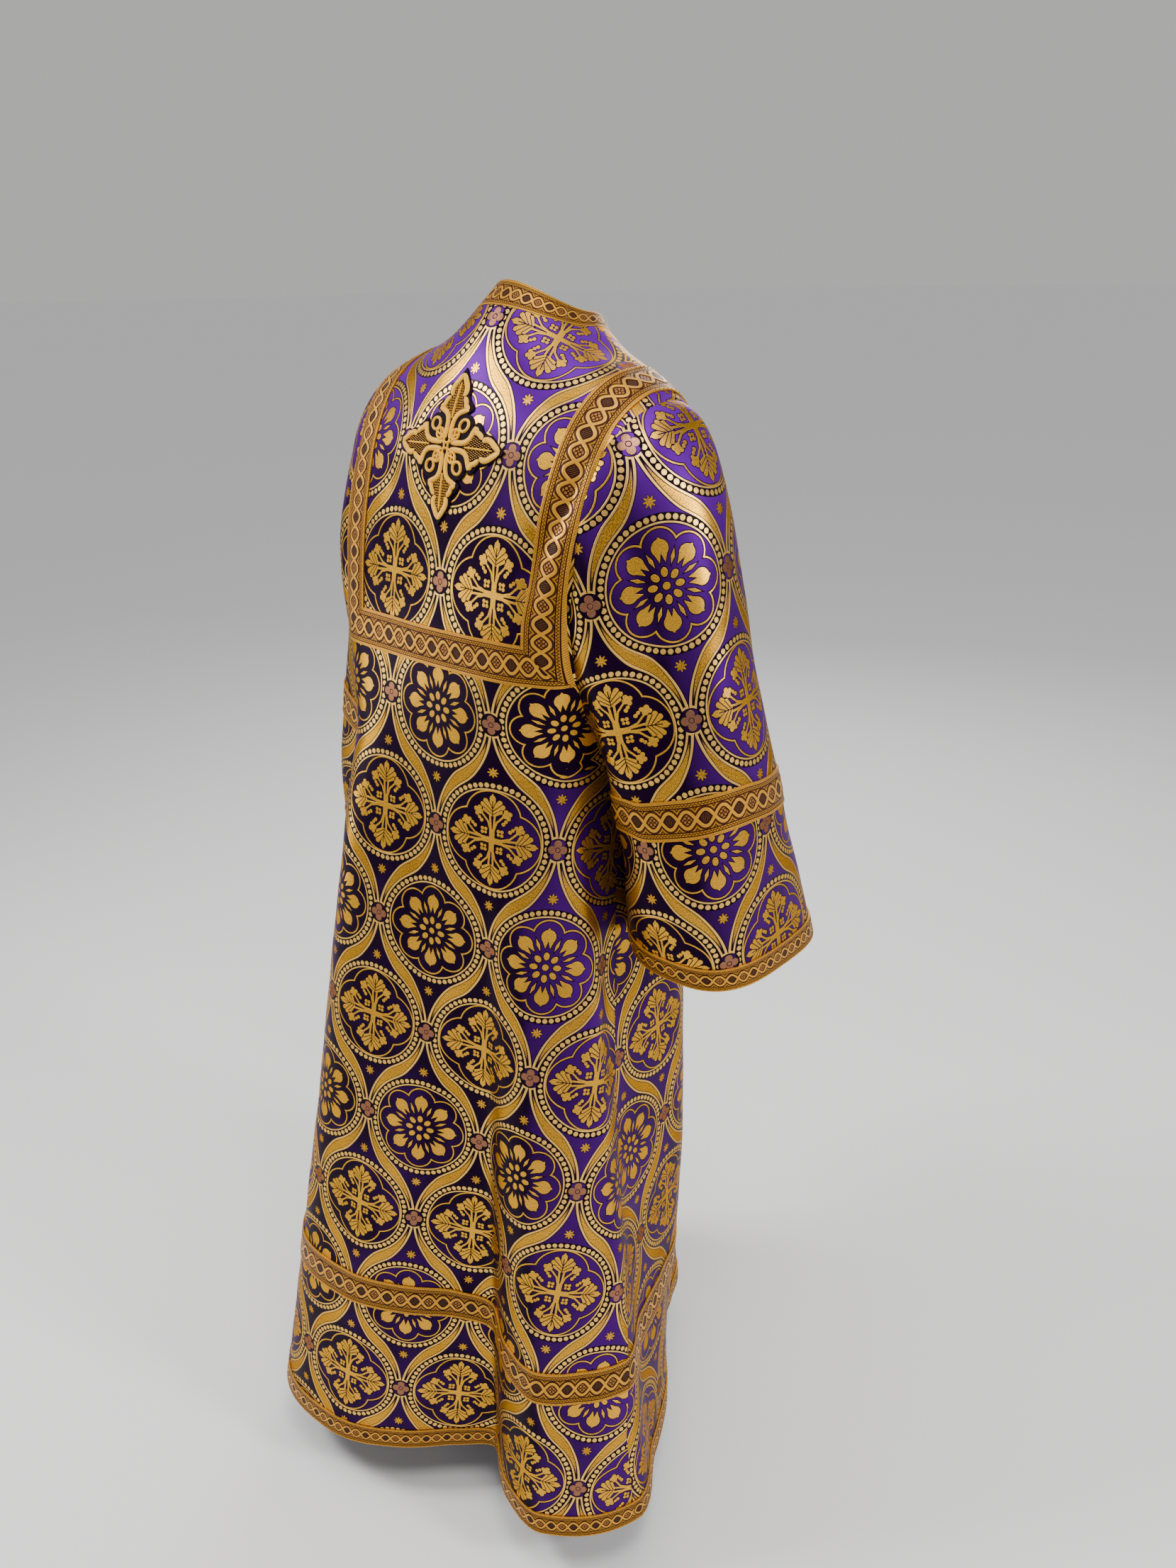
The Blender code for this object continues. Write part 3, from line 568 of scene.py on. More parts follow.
def stripFlat(points, width):
    # places along and across a band: metres along its middle row, and from its middle line
    along = lengthAlong(points[len(points) // 2])
    across = np.linspace(width / 2, -width / 2, len(points))
    return np.stack(np.meshgrid(along, across), -1)


# patterns are written once as formulas, which work on arrays of numbers and inside a material
class Field:
    def __init__(self, tree, socket):
        self.tree, self.socket = tree, socket

    def math(self, operation, *others, clamp=False):
        node = self.tree.nodes.new("ShaderNodeMath")
        node.operation, node.use_clamp = operation, clamp
        for place, value in zip(node.inputs, (self,) + others):
            if isinstance(value, Field):
                self.tree.links.new(value.socket, place)
            else:
                place.default_value = value
        return Field(self.tree, node.outputs[0])

    def __add__(self, other):
        return self.math("ADD", other)

    def __sub__(self, other):
        return self.math("SUBTRACT", other)

    def __rsub__(self, other):
        return self.math("MULTIPLY_ADD", -1.0, other)

    def __mul__(self, other):
        return self.math("MULTIPLY", other)

    def __truediv__(self, other):
        return self.math("DIVIDE", other)

    __radd__, __rmul__ = __add__, __mul__


def onEach(name, plain):
    return lambda a, *more: a.math(name, *more) if isinstance(a, Field) else plain(a, *more)


sine, cosine, size = onEach("SINE", np.sin), onEach("COSINE", np.cos), onEach("ABSOLUTE", np.abs)
root, angleOf = onEach("SQRT", np.sqrt), onEach("ARCTAN2", np.arctan2)
nearest = onEach("ROUND", np.round)
smaller, larger = onEach("MINIMUM", np.minimum), onEach("MAXIMUM", np.maximum)


def lower(first, *more):
    for each in more:
        first = smaller(first, each)
    return first


def upper(first, *more):
    for each in more:
        first = larger(first, each)
    return first


def wrap(a, period):
    return a - nearest(a / period) * period


def far(x, y):
    return root(x * x + y * y)


def cover(a, soft=0.35):
    # 1 where a shape's signed distance is below zero
    if isinstance(a, Field):
        return a.math("MULTIPLY_ADD", -1.0 / soft, 0.5, clamp=True)
    return np.clip(0.5 - a / soft, 0, 1)


def toSegment(x, y, x0, y0, x1, y1):
    dx, dy = x1 - x0, y1 - y0
    t = upper(lower(((x - x0) * dx + (y - y0) * dy) / (dx * dx + dy * dy), 1.0), 0.0)
    return far(x - x0 - t * dx, y - y0 - t * dy)


# the brocade's repeat, in millimetres of cloth
brocade = dict(
    pitch=148.0, rowHeight=132.0, lineHalf=0.85, sharp=0.01,
    beadRing=62.4, beads=56, beadRadius=2.75, beadGround=3.9, innerLine=57.6,
    bandInside=66.6, bandMiddle=37.0, bandSwing=33.0, knotBand=4.6, wideBand=5.2, bandJoin=9.0,
    hairlineAt=2.5, hairlineHalf=0.35, outline=0.45, edgeHalf=1.1,
    knotDisc=12.4, discLine=0.5, knotPetal=6.9, knotHeart=3.6, knotRing=2.6, knotRingHalf=0.4,
    star=77.5, starPoint=3.7, starReach=6.4,
)
# distances out from a figure's middle and to the side of its petal or leaf
rosette = dict(
    frameAt=36.7, frameRadius=17.3, frameFrom=40.0,
    petalAt=35.2, petalRadius=8.2, petalFrom=21.5, tipAt=45.4, tipSlope=0.85, tipFrom=38.0,
    footAt=22.0, footSlope=0.42, footHalf=2.8, footTo=35.0, gapTo=30.5, gapSlope=0.30,
    dartAt=27.5, dartHalf=1.9, dartSlope=0.25, seedAt=13.0, seedLong=0.72, seedHalf=3.25, heart=3.6,
)
leafyCross = dict(
    frameAt=24.0, frameRadius=32.3, frameFrom=40.0, heart=5.0,
    stemHalf=3.3, stemTo=14.0, branch=(13.0, 1.7, 31.0, 3.0), branchHalf=1.2,
    leafAt=37.5, leafLong=0.5, leafHalf=5.0, tipAt=53.5, tipSlope=0.6, tipFrom=47.0,
    lobes=((43.0, 0.0, 48.0, 0.0, 3.4), (36.0, 3.0, 44.2, 8.2, 2.8),
           (33.0, 3.0, 39.6, 11.6, 2.7), (30.5, 3.0, 33.8, 9.4, 2.2)),
    ribAt=29.0, ribReach=16.0, ribHalf=0.5, veinHalf=0.42,
    veins=((36.0, 0.0, 45.5, 4.8), (33.0, 0.0, 42.6, 10.8), (30.0, 1.0, 36.6, 10.6)),
    sprig=((13.0, 2.6, 21.0, 5.0), (21.0, 5.0, 28.5, 12.0)), sprigHalf=1.1,
    sprigLobes=((30.6, 14.6, 3.3), (35.0, 15.4, 2.5), (32.6, 19.4, 2.8), (27.6, 18.4, 2.4), (23.8, 15.6, 2.0),
                (20.8, 13.0, 2.2), (11.8, 11.8, 2.0), (11.8, 7.6, 2.0), (7.8, 7.8, 1.7)),
)
# where the repeat falls on each panel, in metres of its cloth
brocadeStart = dict(back=(0.005, 0.065), front=(0.0, 0.050), right=(0.074, -0.163), left=(-0.074, -0.163))


def rosetteFigure(r, turn):
    f = rosette
    eighth = wrap(turn, math.pi / 4)
    x, y = r * cosine(eighth), size(r * sine(eighth))
    frameLine = upper(size(far(x - f["frameAt"], y) - f["frameRadius"]) - brocade["lineHalf"],
                      f["frameFrom"] - r)
    petal = lower(far(x - f["petalAt"], y) - f["petalRadius"],
                  upper(y + (x - f["tipAt"]) * f["tipSlope"], f["tipFrom"] - x),
                  upper(y - (x - f["footAt"]) * f["footSlope"] - f["footHalf"], x - f["footTo"]))
    petal = upper(petal, (f["gapTo"] - x) * f["gapSlope"] - y, f["petalFrom"] - x)
    between = wrap(turn + math.pi / 8, math.pi / 4)
    dart = size(r * sine(between)) - f["dartHalf"]
    dart = dart + size(r * cosine(between) - f["dartAt"]) * f["dartSlope"]
    seed = far((x - f["seedAt"]) * f["seedLong"], y) - f["seedHalf"]
    return lower(frameLine, petal, dart, seed, r - f["heart"])


def leafyCrossFigure(r, turn):
    f = leafyCross
    quarter = wrap(turn, math.pi / 2)
    x, y = r * cosine(quarter), size(r * sine(quarter))
    frameLine = upper(size(far(x - f["frameAt"], y) - f["frameRadius"]) - brocade["lineHalf"],
                      f["frameFrom"] - r)
    stem = lower(upper(y - f["stemHalf"], x - f["stemTo"]), toSegment(x, y, *f["branch"]) - f["branchHalf"])
    leaf = far((x - f["leafAt"]) * f["leafLong"], y) - f["leafHalf"]
    for *line, lobe in f["lobes"]:
        leaf = lower(leaf, toSegment(x, y, *line) - lobe)
    leaf = lower(leaf, upper(y + (x - f["tipAt"]) * f["tipSlope"], f["tipFrom"] - x))
    vein = upper(y - f["ribHalf"], size(x - f["ribAt"]) - f["ribReach"])
    for line in f["veins"]:
        vein = lower(vein, toSegment(x, y, *line) - f["veinHalf"])
    sprig = lower(*(toSegment(x, y, *line) for line in f["sprig"])) - f["sprigHalf"]
    for atX, atY, radius in f["sprigLobes"]:
        sprig = lower(sprig, far(x - atX, y - atY) - radius)
    return lower(frameLine, upper(lower(leaf, stem), vein * -1.0), sprig, r - f["heart"])


def brocadeShapes(u, v):
    # signed distances of the gold and of the dark parts, inside a material
    b = brocade
    pitch, rowHeight = b["pitch"], b["rowHeight"]
    ax, ay = wrap(u, pitch), wrap(v, 2 * rowHeight)
    bx, by = wrap(u + pitch / 2, pitch), wrap(v + rowHeight, 2 * rowHeight)
    ra, rb = far(ax, ay), far(bx, by)
    isRosette = cover(ra - rb, b["sharp"])
    x, y, r = bx + (ax - bx) * isRosette, by + (ay - by) * isRosette, lower(ra, rb)
    turn = angleOf(y, x)
    beads = b["beads"] / (2 * math.pi)
    bead = far(wrap(turn * beads, 1.0) * (b["beadRing"] / beads), r - b["beadRing"]) - b["beadRadius"]
    innerLine = size(r - b["innerLine"]) - b["lineHalf"]
    # the wavy bands, rounded where they meet the rings
    phase = v * (math.pi / rowHeight)
    lean = sine(phase)
    steep = (b["bandSwing"] * math.pi / rowHeight)**2
    upright = root(lean * lean * steep + 1.0).math("POWER", -1.0)
    middle = cosine(phase) * b["bandSwing"] + b["bandMiddle"]
    band = size(size(ax) - middle) * upright - (lean * lean * b["wideBand"] + b["knotBand"])
    band = band.math("SMOOTH_MAX", b["bandInside"] - r, b["bandJoin"])
    # the small flowers where the bands cross
    nx, ny = wrap(u - pitch / 2, pitch), ay
    mx, my = ax, wrap(v - rowHeight, 2 * rowHeight)
    rn, rm = far(nx, ny), far(mx, my)
    first, rk = cover(rn - rm, b["sharp"]), lower(rn, rm)
    knotTurn = angleOf(my + (ny - my) * first, mx + (nx - mx) * first)
    knot = rk - (root(size(cosine(knotTurn * 2.0))) * b["knotPetal"] + b["knotHeart"])
    knot = upper(knot, b["knotRingHalf"] - size(rk - b["knotRing"]))
    outsideKnot = b["knotDisc"] - rk
    star = far(x, size(y) - b["star"])
    starTurn = size(wrap(angleOf(size(y) - b["star"], x), math.pi / 4)) * (8 / math.pi)
    star = star + starTurn * b["starPoint"] - b["starReach"]
    figure = leafyCrossFigure(r, turn)
    figure = figure + (rosetteFigure(r, turn) - figure) * isRosette
    band, bead = upper(band, outsideKnot), upper(bead, outsideKnot)
    gold = lower(band, bead, innerLine, figure, star, knot)
    hairline = lower(size(band + b["hairlineAt"]) - b["hairlineHalf"],
                     size(gold - b["outline"]) - b["outline"])
    dark = lower(hairline, size(r - b["beadRing"]) - b["beadGround"], size(outsideKnot) - b["discLine"])
    edge = lower(size(band + b["edgeHalf"]) - b["edgeHalf"], bead, innerLine)
    return dict(gold=gold, dark=dark, hairline=hairline, edge=edge, knot=knot, figure=figure)


# the galloon, in millimetres of the widest band; a pair is a line's place and half its width
galloon = dict(
    halfWidth=20.5, eye=18.0, swing=8.5, cord=1.7, border=12.4, rope=17.2, sharp=0.05,
    cordLine=(2.1, 0.32), cordEcho=(3.0, 0.22), farEcho=(5.3, 0.30), cordClear=1.75, borderLine=(12.4, 0.45),
    zigzag=3.4, zigzagLine=(14.6, 0.38), ropeLine=(16.8, 0.35), twist=2.6, dotAt=2.0, dotRadius=1.3,
    base=0.18, cordFoot=2.2, cordRise=0.50, ropeMiddle=18.9, ropeHalf=1.9, ropeRise=0.38, twistRise=0.10,
    groove=0.16, grooveSoft=0.9,
)


def lineAt(value, place, half):
    return size(value - place) - half


def galloonShapes(t, s):
    g = galloon
    away = size(s)
    phase = t * (math.pi / g["eye"])
    wave, lean = sine(phase) * g["swing"], cosine(phase) * (g["swing"] * math.pi / g["eye"])
    steep = root(lean * lean + 1.0)
    near = lower(size(s - wave), size(s + wave)) / steep
    inEye = (size(wave) - away) / steep
    other = cover(size(wrap(t - g["eye"] / 2, 2 * g["eye"])) - g["eye"] / 2, g["sharp"])
    dots = far(size(wrap(t - g["eye"] / 2, g["eye"])) - g["dotAt"], away - g["dotAt"]) - g["dotRadius"]
    zig = size(wrap(t, g["zigzag"])) * (4 / g["zigzag"]) - 1.0
    line = lower(lineAt(near, *g["cordLine"]), upper(lineAt(near, *g["cordEcho"]), away - g["border"]),
                 upper(lineAt(near, *g["farEcho"]), away - g["border"], inEye))
    line = lower(line, lineAt(away, *g["borderLine"]), lineAt(away - zig, *g["zigzagLine"]),
                 lineAt(away, *g["ropeLine"]))
    line = upper(line, g["cordClear"] - near)
    twist = sine((t + away) * (2 * math.pi / g["twist"]))
    return dict(near=near, inEye=inEye, other=other, dots=dots, line=line, away=away, twist=twist)


def roundTop(share):
    # the height of a round cord at a share of its half width
    return np.sqrt(np.clip(1 - share**2, 0, 1))


def galloonRelief(t, s):
    # height in metres over the band's plain surface
    g, part = galloon, galloonShapes(t, s)
    cordHeight = roundTop(part["near"] / g["cordFoot"]) * g["cordRise"] * (part["away"] < g["border"])
    ropeHeight = roundTop((part["away"] - g["ropeMiddle"]) / g["ropeHalf"])
    ropeHeight *= g["ropeRise"] + g["twistRise"] * part["twist"]
    groove = g["groove"] * cover(part["line"], g["grooveSoft"])
    return (g["base"] + cordHeight + ropeHeight - groove) * 0.001


def refine(grid, rows, columns):
    r, c = np.linspace(0, grid.shape[0] - 1, rows), np.linspace(0, grid.shape[1] - 1, columns)
    i, j = np.minimum(r.astype(int), grid.shape[0] - 2), np.minimum(c.astype(int), grid.shape[1] - 2)
    wi, wj = (r - i)[:, None, None], (c - j)[None, :, None]
    down = grid[i] * (1 - wi) + grid[i + 1] * wi
    return down[:, j] * (1 - wj) + down[:, j + 1] * wj


# the stitches that hold a galloon down, in millimetres; inset counts cells from its edge
stitch = dict(length=3.4, every=6.0, width=0.6, height=0.35, sunk=0.1, inset=1)


def addStitches(piece, lines, material):
    # small pointed threads along lines, each given as its points and their normals
    sunk = stitch["sunk"] * 0.001
    verts, faces = [], []
    for points, normals in lines:
        along = lengthAlong(points) * 1000
        for at in np.arange(stitch["every"] / 2, along[-1] - stitch["length"], stitch["every"]):
            spots = at + stitch["length"] * np.array([0.0, 0.2, 0.8, 1.0])
            on, out = pickAlong(spots, along, points), pickAlong(spots, along, normals)
            side = unit(np.cross(on[3] - on[0], out[1])) * stitch["width"] * 0.0005
            on -= out * sunk
            top = on + out * (stitch["height"] * 0.001 + sunk)
            first = len(verts)
            verts += [on[0], on[1] + side, top[1], on[1] - side, on[2] + side, top[2], on[2] - side, on[3]]
            for j, m in ((1, 2), (2, 3), (3, 1)):
                faces += [(first, first + m, first + j), (first + j, first + m, first + m + 3, first + j + 3),
                          (first + 7, first + j + 3, first + m + 3)]
    thread = bpy.data.meshes.new("stitches")
    thread.from_pydata([tuple(p) for p in verts], [], faces)
    layer = thread.uv_layers.new(name="cloth")
    at = np.array(verts)[[loop.vertex_index for loop in thread.loops]]
    layer.data.foreach_set("uv", np.stack([at[:, 0] + at[:, 1], at[:, 2]], -1).ravel())
    piece.data.materials.append(material)
    thread.polygons.foreach_set("material_index", [len(piece.data.materials) - 1] * len(thread.polygons))
    thread.polygons.foreach_set("use_smooth", [True] * len(thread.polygons))
    joined = bmesh.new()
    joined.from_mesh(thread)
    bmesh.ops.recalc_face_normals(joined, faces=joined.faces)
    joined.to_mesh(thread)
    joined.from_mesh(piece.data)
    joined.to_mesh(piece.data)
    joined.free()
    bpy.data.meshes.remove(thread)


def bandWall(name, points, normals, width, eye, materials, closed=False, along=None, across=None):
    # a galloon laid on a surface, with its woven cords raised
    if along is None:
        flat = stripFlat(points, width) * 1000
        along, across = flat[..., 0], flat[..., 1]
    stretch = galloon["eye"] / eye
    if closed:
        turns = max(1, round(along[0, -1] * stretch / (2 * galloon["eye"])))
        stretch = turns * 2 * galloon["eye"] / along[0, -1]
    t, s = along * stretch, across * (2 * galloon["halfWidth"] / (width * 1000))
    high = (cloth["gap"] + cloth["galloon"] + galloonRelief(t, s))[..., None]
    piece = wall(name, points, normals, np.stack([t, s], -1) / 1000, cloth["gap"], high, closed,
                 materials[:1])
    rows = (stitch["inset"], len(points) - 1 - stitch["inset"])
    addStitches(piece, [((points + normals * high)[k], normals[k]) for k in rows], materials[1])
    return piece


cell = 0.0016   # metres between the points of a band


def rowBand(name, panel, rows, materials, width, eye, closed=False):
    points, normals = panel["points"][rows], panel["normals"][rows]
    length = lengthAlong(points[len(points) // 2])[-1]
    shape = (int(width / cell) + 1, int(length / cell) + 1)
    return bandWall(name, refine(points, *shape), refine(normals, *shape), width, eye, materials, closed)


def cutLine(panels, point, way, order):
    # where a plane cuts the panels above the underarm, as points with their normals in order
    found, foundNormals = [], []
    for panel in panels:
        end = panel["yokeEnd"] + 1
        p, n = panel["points"][:end], panel["normals"][:end]
        for a, b in ((np.s_[:, :-1], np.s_[:, 1:]), (np.s_[:-1], np.s_[1:])):
            fa, fb = (p[a] - point) @ way, (p[b] - point) @ way
            hit = fa * fb < 0
            w = (fa / (fa - fb + 1e-30))[hit][:, None]
            found.append(p[a][hit] * (1 - w) + p[b][hit] * w)
            foundNormals.append(n[a][hit] * (1 - w) + n[b][hit] * w)
    found, foundNormals = np.concatenate(found), np.concatenate(foundNormals)
    sorting = np.argsort(order(found))
    found, foundNormals = found[sorting], foundNormals[sorting]
    keep = np.concatenate([[True], np.linalg.norm(np.diff(found, axis=0), axis=1) > cell / 2])
    return found[keep], foundNormals[keep]


def clipLine(points, normals, inside, count):
    # keeps the stretch where inside is positive and divides it evenly
    within = np.where(inside > 0)[0]
    first, last = within[0], within[-1]
    ends = []
    for a, b in ((first, first - 1), (last, last + 1)):
        b = min(max(b, 0), len(points) - 1)
        w = inside[a] / (inside[a] - inside[b]) if a != b else 0.0
        ends.append((points[a] * (1 - w) + points[b] * w, normals[a] * (1 - w) + normals[b] * w))
    points = np.concatenate([[ends[0][0]], points[first:last + 1], [ends[1][0]]])
    normals = np.concatenate([[ends[0][1]], normals[first:last + 1], [ends[1][1]]])
    length = lengthAlong(points)
    at = np.linspace(0, length[-1], count)
    return pickAlong(at, length, points), unit(pickAlong(at, length, normals))


def alongLine(points, centre):
    # metres along the centre line of each point, with the line drawn on at both ends
    first, last = unit(centre[0] - centre[8]), unit(centre[-1] - centre[-9])
    centre = np.concatenate([[centre[0] + first * 0.05], centre, [centre[-1] + last * 0.05]])
    start, way = centre[:-1], np.diff(centre, axis=0)
    length = np.linalg.norm(way, axis=1)
    passed = np.concatenate([[0.0], np.cumsum(length)[:-1]])
    out = np.zeros(points.shape[:-1])
    for i, line in enumerate(points):
        share = ((line[:, None] - start) * way).sum(-1) / length**2
        share = np.clip(share, 0, 1)
        gap = np.linalg.norm(start + way * share[..., None] - line[:, None], axis=-1)
        best = gap.argmin(1)
        pick = np.arange(len(line))
        out[i] = passed[best] + share[pick, best] * length[best]
    return out


def yokeBand(name, panels, side, materials):
    # side is right or left for the lengthwise bands, or None for the level one
    y = yokeBands
    width, rows = y["width"], int(y["width"] / cell) + 1

    def corner(out):
        line = unit(np.array([out * (y["lowX"] - y["topX"]), 0.0, y["lowZ"] - y["topZ"]]))
        outward = np.array([out * -line[2], 0.0, out * line[0]])
        return outward, np.array([out * y["lowX"], 0.0, y["lowZ"]]), np.array([out, 0.0, 1.0]) / math.sqrt(2)

    lines, lineNormals = [], []
    for offset in np.linspace(-width / 2, width / 2, rows):
        if side:
            outward, at, mitre = corner(1.0 if side == "left" else -1.0)
            p, n = cutLine(panels, at + outward * offset, outward,
                           lambda q: np.arctan2(q[:, 1], q[:, 2] - y["turnZ"]))
            inside = (p - at) @ mitre - cloth["seam"]
        else:
            p, n = cutLine(panels, np.array([0, 0, y["lowZ"] + offset]), np.array([0.0, 0.0, 1.0]),
                           lambda q: q[:, 0])
            inside = np.minimum(*((corner(o)[1] - p) @ corner(o)[2] - cloth["seam"] for o in (1.0, -1.0)))
        p, n = clipLine(p, n, inside, y["points"] if side else y["levelPoints"])
        lines.append(p)
        lineNormals.append(n)
    points, normals = np.array(lines), np.array(lineNormals)
    along = alongLine(points, points[rows // 2]) * 1000
    across = np.linspace(-width / 2, width / 2, rows)[:, None] * 1000 + along * 0
    return bandWall(name, points, normals, width, y["eye"], materials, False, along, across)


# the standing collar; slit is the direction of its opening, which is gap degrees wide to each side
collar = dict(height=0.017, rake=0.006, lean=0.014, shift=-0.011, slit=62.0, gap=0.35, rows=15, columns=250,
              eye=12.0, width=0.03, turn=0.14, relief=0.7)


def collarBand(name, materials):
    c = collar
    around = np.linspace(c["slit"] + c["gap"], c["slit"] + 360.0 - c["gap"], c["columns"])
    base, normal = body(around, np.zeros_like(around)), bodyNormals(around, np.zeros_like(around))
    base = base + unit(base - body(around, np.full_like(around, 0.1))) * 2 * cloth["seam"]
    out = unit((base - np.array([0.0, yokeRows[0][3], 0.0])) * np.array([1.0, 1.0, 0.0]))
    height = c["height"] + c["rake"] * np.cos(np.radians(around + 40.0))
    rise = np.stack([np.zeros_like(height), np.full_like(height, c["shift"]), height], -1)
    shares = np.linspace(0, 1, c["rows"])
    points = np.array([base + (rise - out * c["lean"]) * share for share in shares])
    normals = np.array([unit(normal * max(0.0, 1 - share / c["turn"]) + out * min(1.0, share / c["turn"]))
                        for share in shares])
    along = stripFlat(points, c["width"])[..., 0] * 1000
    across = np.linspace(-galloon["halfWidth"], galloon["halfWidth"], c["rows"])[:, None] + along * 0
    t = along * galloon["eye"] / c["eye"]
    high = galloonRelief(t, across) * c["relief"]
    return wall(name, points, normals, np.stack([t, across], -1) / 1000, -cloth["thickness"], high[..., None],
                False, materials)


# the embroidered cross, in millimetres from its middle; cords are lists of distance out and to the side
cross = dict(
    at=(0.0, 0.104, -0.118), tilt=20.0, ground=0.0014, columns=26, rows=(6, 62), facets=8,
    cords=(((7.0, 2.6), (16.0, 3.4), (24.0, 4.2), (30.0, 7.4), (33.6, 13.4), (35.2, 20.6)),
           ((36.4, 20.2), (39.0, 15.4), (43.4, 13.4), (47.6, 9.6)),
           ((48.4, 7.6), (53.0, 9.6), (58.0, 8.6), (64.0, 4.6), (70.5, 0.0))),
    cordWidths=(5.4, 5.4, 5.8), cordHeight=2.0, taper=0.35,
    vein=((26.0, 0.0), (36.0, 0.0), (50.0, 0.0), (62.0, 0.0)), veinWidth=2.0, veinHeight=1.7,
    edges=((12.0, 1.0), (24.0, 1.8), (30.0, 4.6), (34.0, 11.0), (36.5, 14.5), (40.0, 11.0), (46.0, 6.6),
           (50.0, 5.0), (56.0, 6.0), (62.0, 2.6)),
    stitch=0.75, stitchEvery=2.5, stitchApart=2.2, stitchHeight=0.8,
    rings=((28.4, 6.0, 5.6, 3.0), (15.4, 5.4, 4.8, 2.5)), link=2.2, linkHeights=(1.9, 1.3),
    groundArm=((33.5, 21.5), (36.0, 25.0), (40.5, 24.0), (46.0, 17.4), (50.5, 14.6), (56.0, 14.6),
               (63.0, 10.2), (69.5, 5.0), (76.0, 0.4)),
    groundLobe=(20.2, 11.4, 0.0, 90.0),
)


def smoothPath(points, parts=8, closed=False):
    # a curve through the points
    p = np.array(points, float)
    if closed:
        p = np.concatenate([p[-1:], p, p[:2]])
    else:
        p = np.concatenate([2 * p[:1] - p[1:2], p, 2 * p[-1:] - p[-2:-1]])
    w = np.linspace(0, 1, parts, endpoint=False)[:, None]
    out = []
    for i in range(len(p) - 3):
        a, b, c, d = p[i:i + 4]
        out.append(throughPoints(w, a, b, c, d))
    out = np.concatenate(out)
    return out if closed else np.concatenate([out, p[-2:-1]])


def crossAxes():
    # the drawing's way up, and the way out of the cloth
    tilt = math.radians(cross["tilt"])
    return Vector((0, -math.sin(tilt), math.cos(tilt))), Vector((0, math.cos(tilt), math.sin(tilt)))


def crossGround(name, panel, materials):
    # a sheet of the dark cloth, cut to the cross's outline
    middle = len(panel["points"][0]) // 2
    columns = slice(middle - cross["columns"], middle + cross["columns"] + 1)
    rows = slice(*cross["rows"])
    sheet = wall(name, panel["points"][rows, columns], panel["normals"][rows, columns],
                 panel["flat"][rows, columns], cloth["gap"], cloth["gap"] + cross["ground"], False, materials)
    quarter = [(d, -w) for d, w in cross["groundArm"]] + [(d, w) for d, w in reversed(cross["groundArm"])]
    at, radius, first, last = cross["groundLobe"]
    for angle in np.radians(np.linspace(first, last, 7)):
        quarter.append((at + radius * math.cos(angle), at + radius * math.sin(angle)))
    outline = []
    for turn in range(4):
        spin = np.array(Matrix.Rotation(turn * math.pi / 2, 2))
        outline += [spin @ np.array(p) * 0.001 for p in quarter]
    outline = smoothPath(outline, 4, True)
    up, out = crossAxes()
    cutter = bmesh.new()
    ends = [[cutter.verts.new(Vector(cross["at"]) + Vector((1, 0, 0)) * x + up * y + out * depth)
             for x, y in outline] for depth in (-0.06, 0.06)]
    cutter.faces.new(ends[0])
    cutter.faces.new(list(reversed(ends[1])))
    for j in range(len(outline)):
        k = (j + 1) % len(outline)
        cutter.faces.new((ends[0][j], ends[0][k], ends[1][k], ends[1][j]))
    bmesh.ops.recalc_face_normals(cutter, faces=cutter.faces)
    mesh = bpy.data.meshes.new("outline")
    cutter.to_mesh(mesh)
    cutter.free()
    tool = addObject("outline", mesh)
    cut = sheet.modifiers.new("outline", "BOOLEAN")
    cut.operation, cut.solver, cut.object = "INTERSECT", "EXACT", tool
    shape = bpy.data.meshes.new_from_object(sheet.evaluated_get(bpy.context.evaluated_depsgraph_get()))
    sheet.modifiers.clear()
    sheet.data = shape
    bpy.data.objects.remove(tool, do_unlink=True)
    return sheet


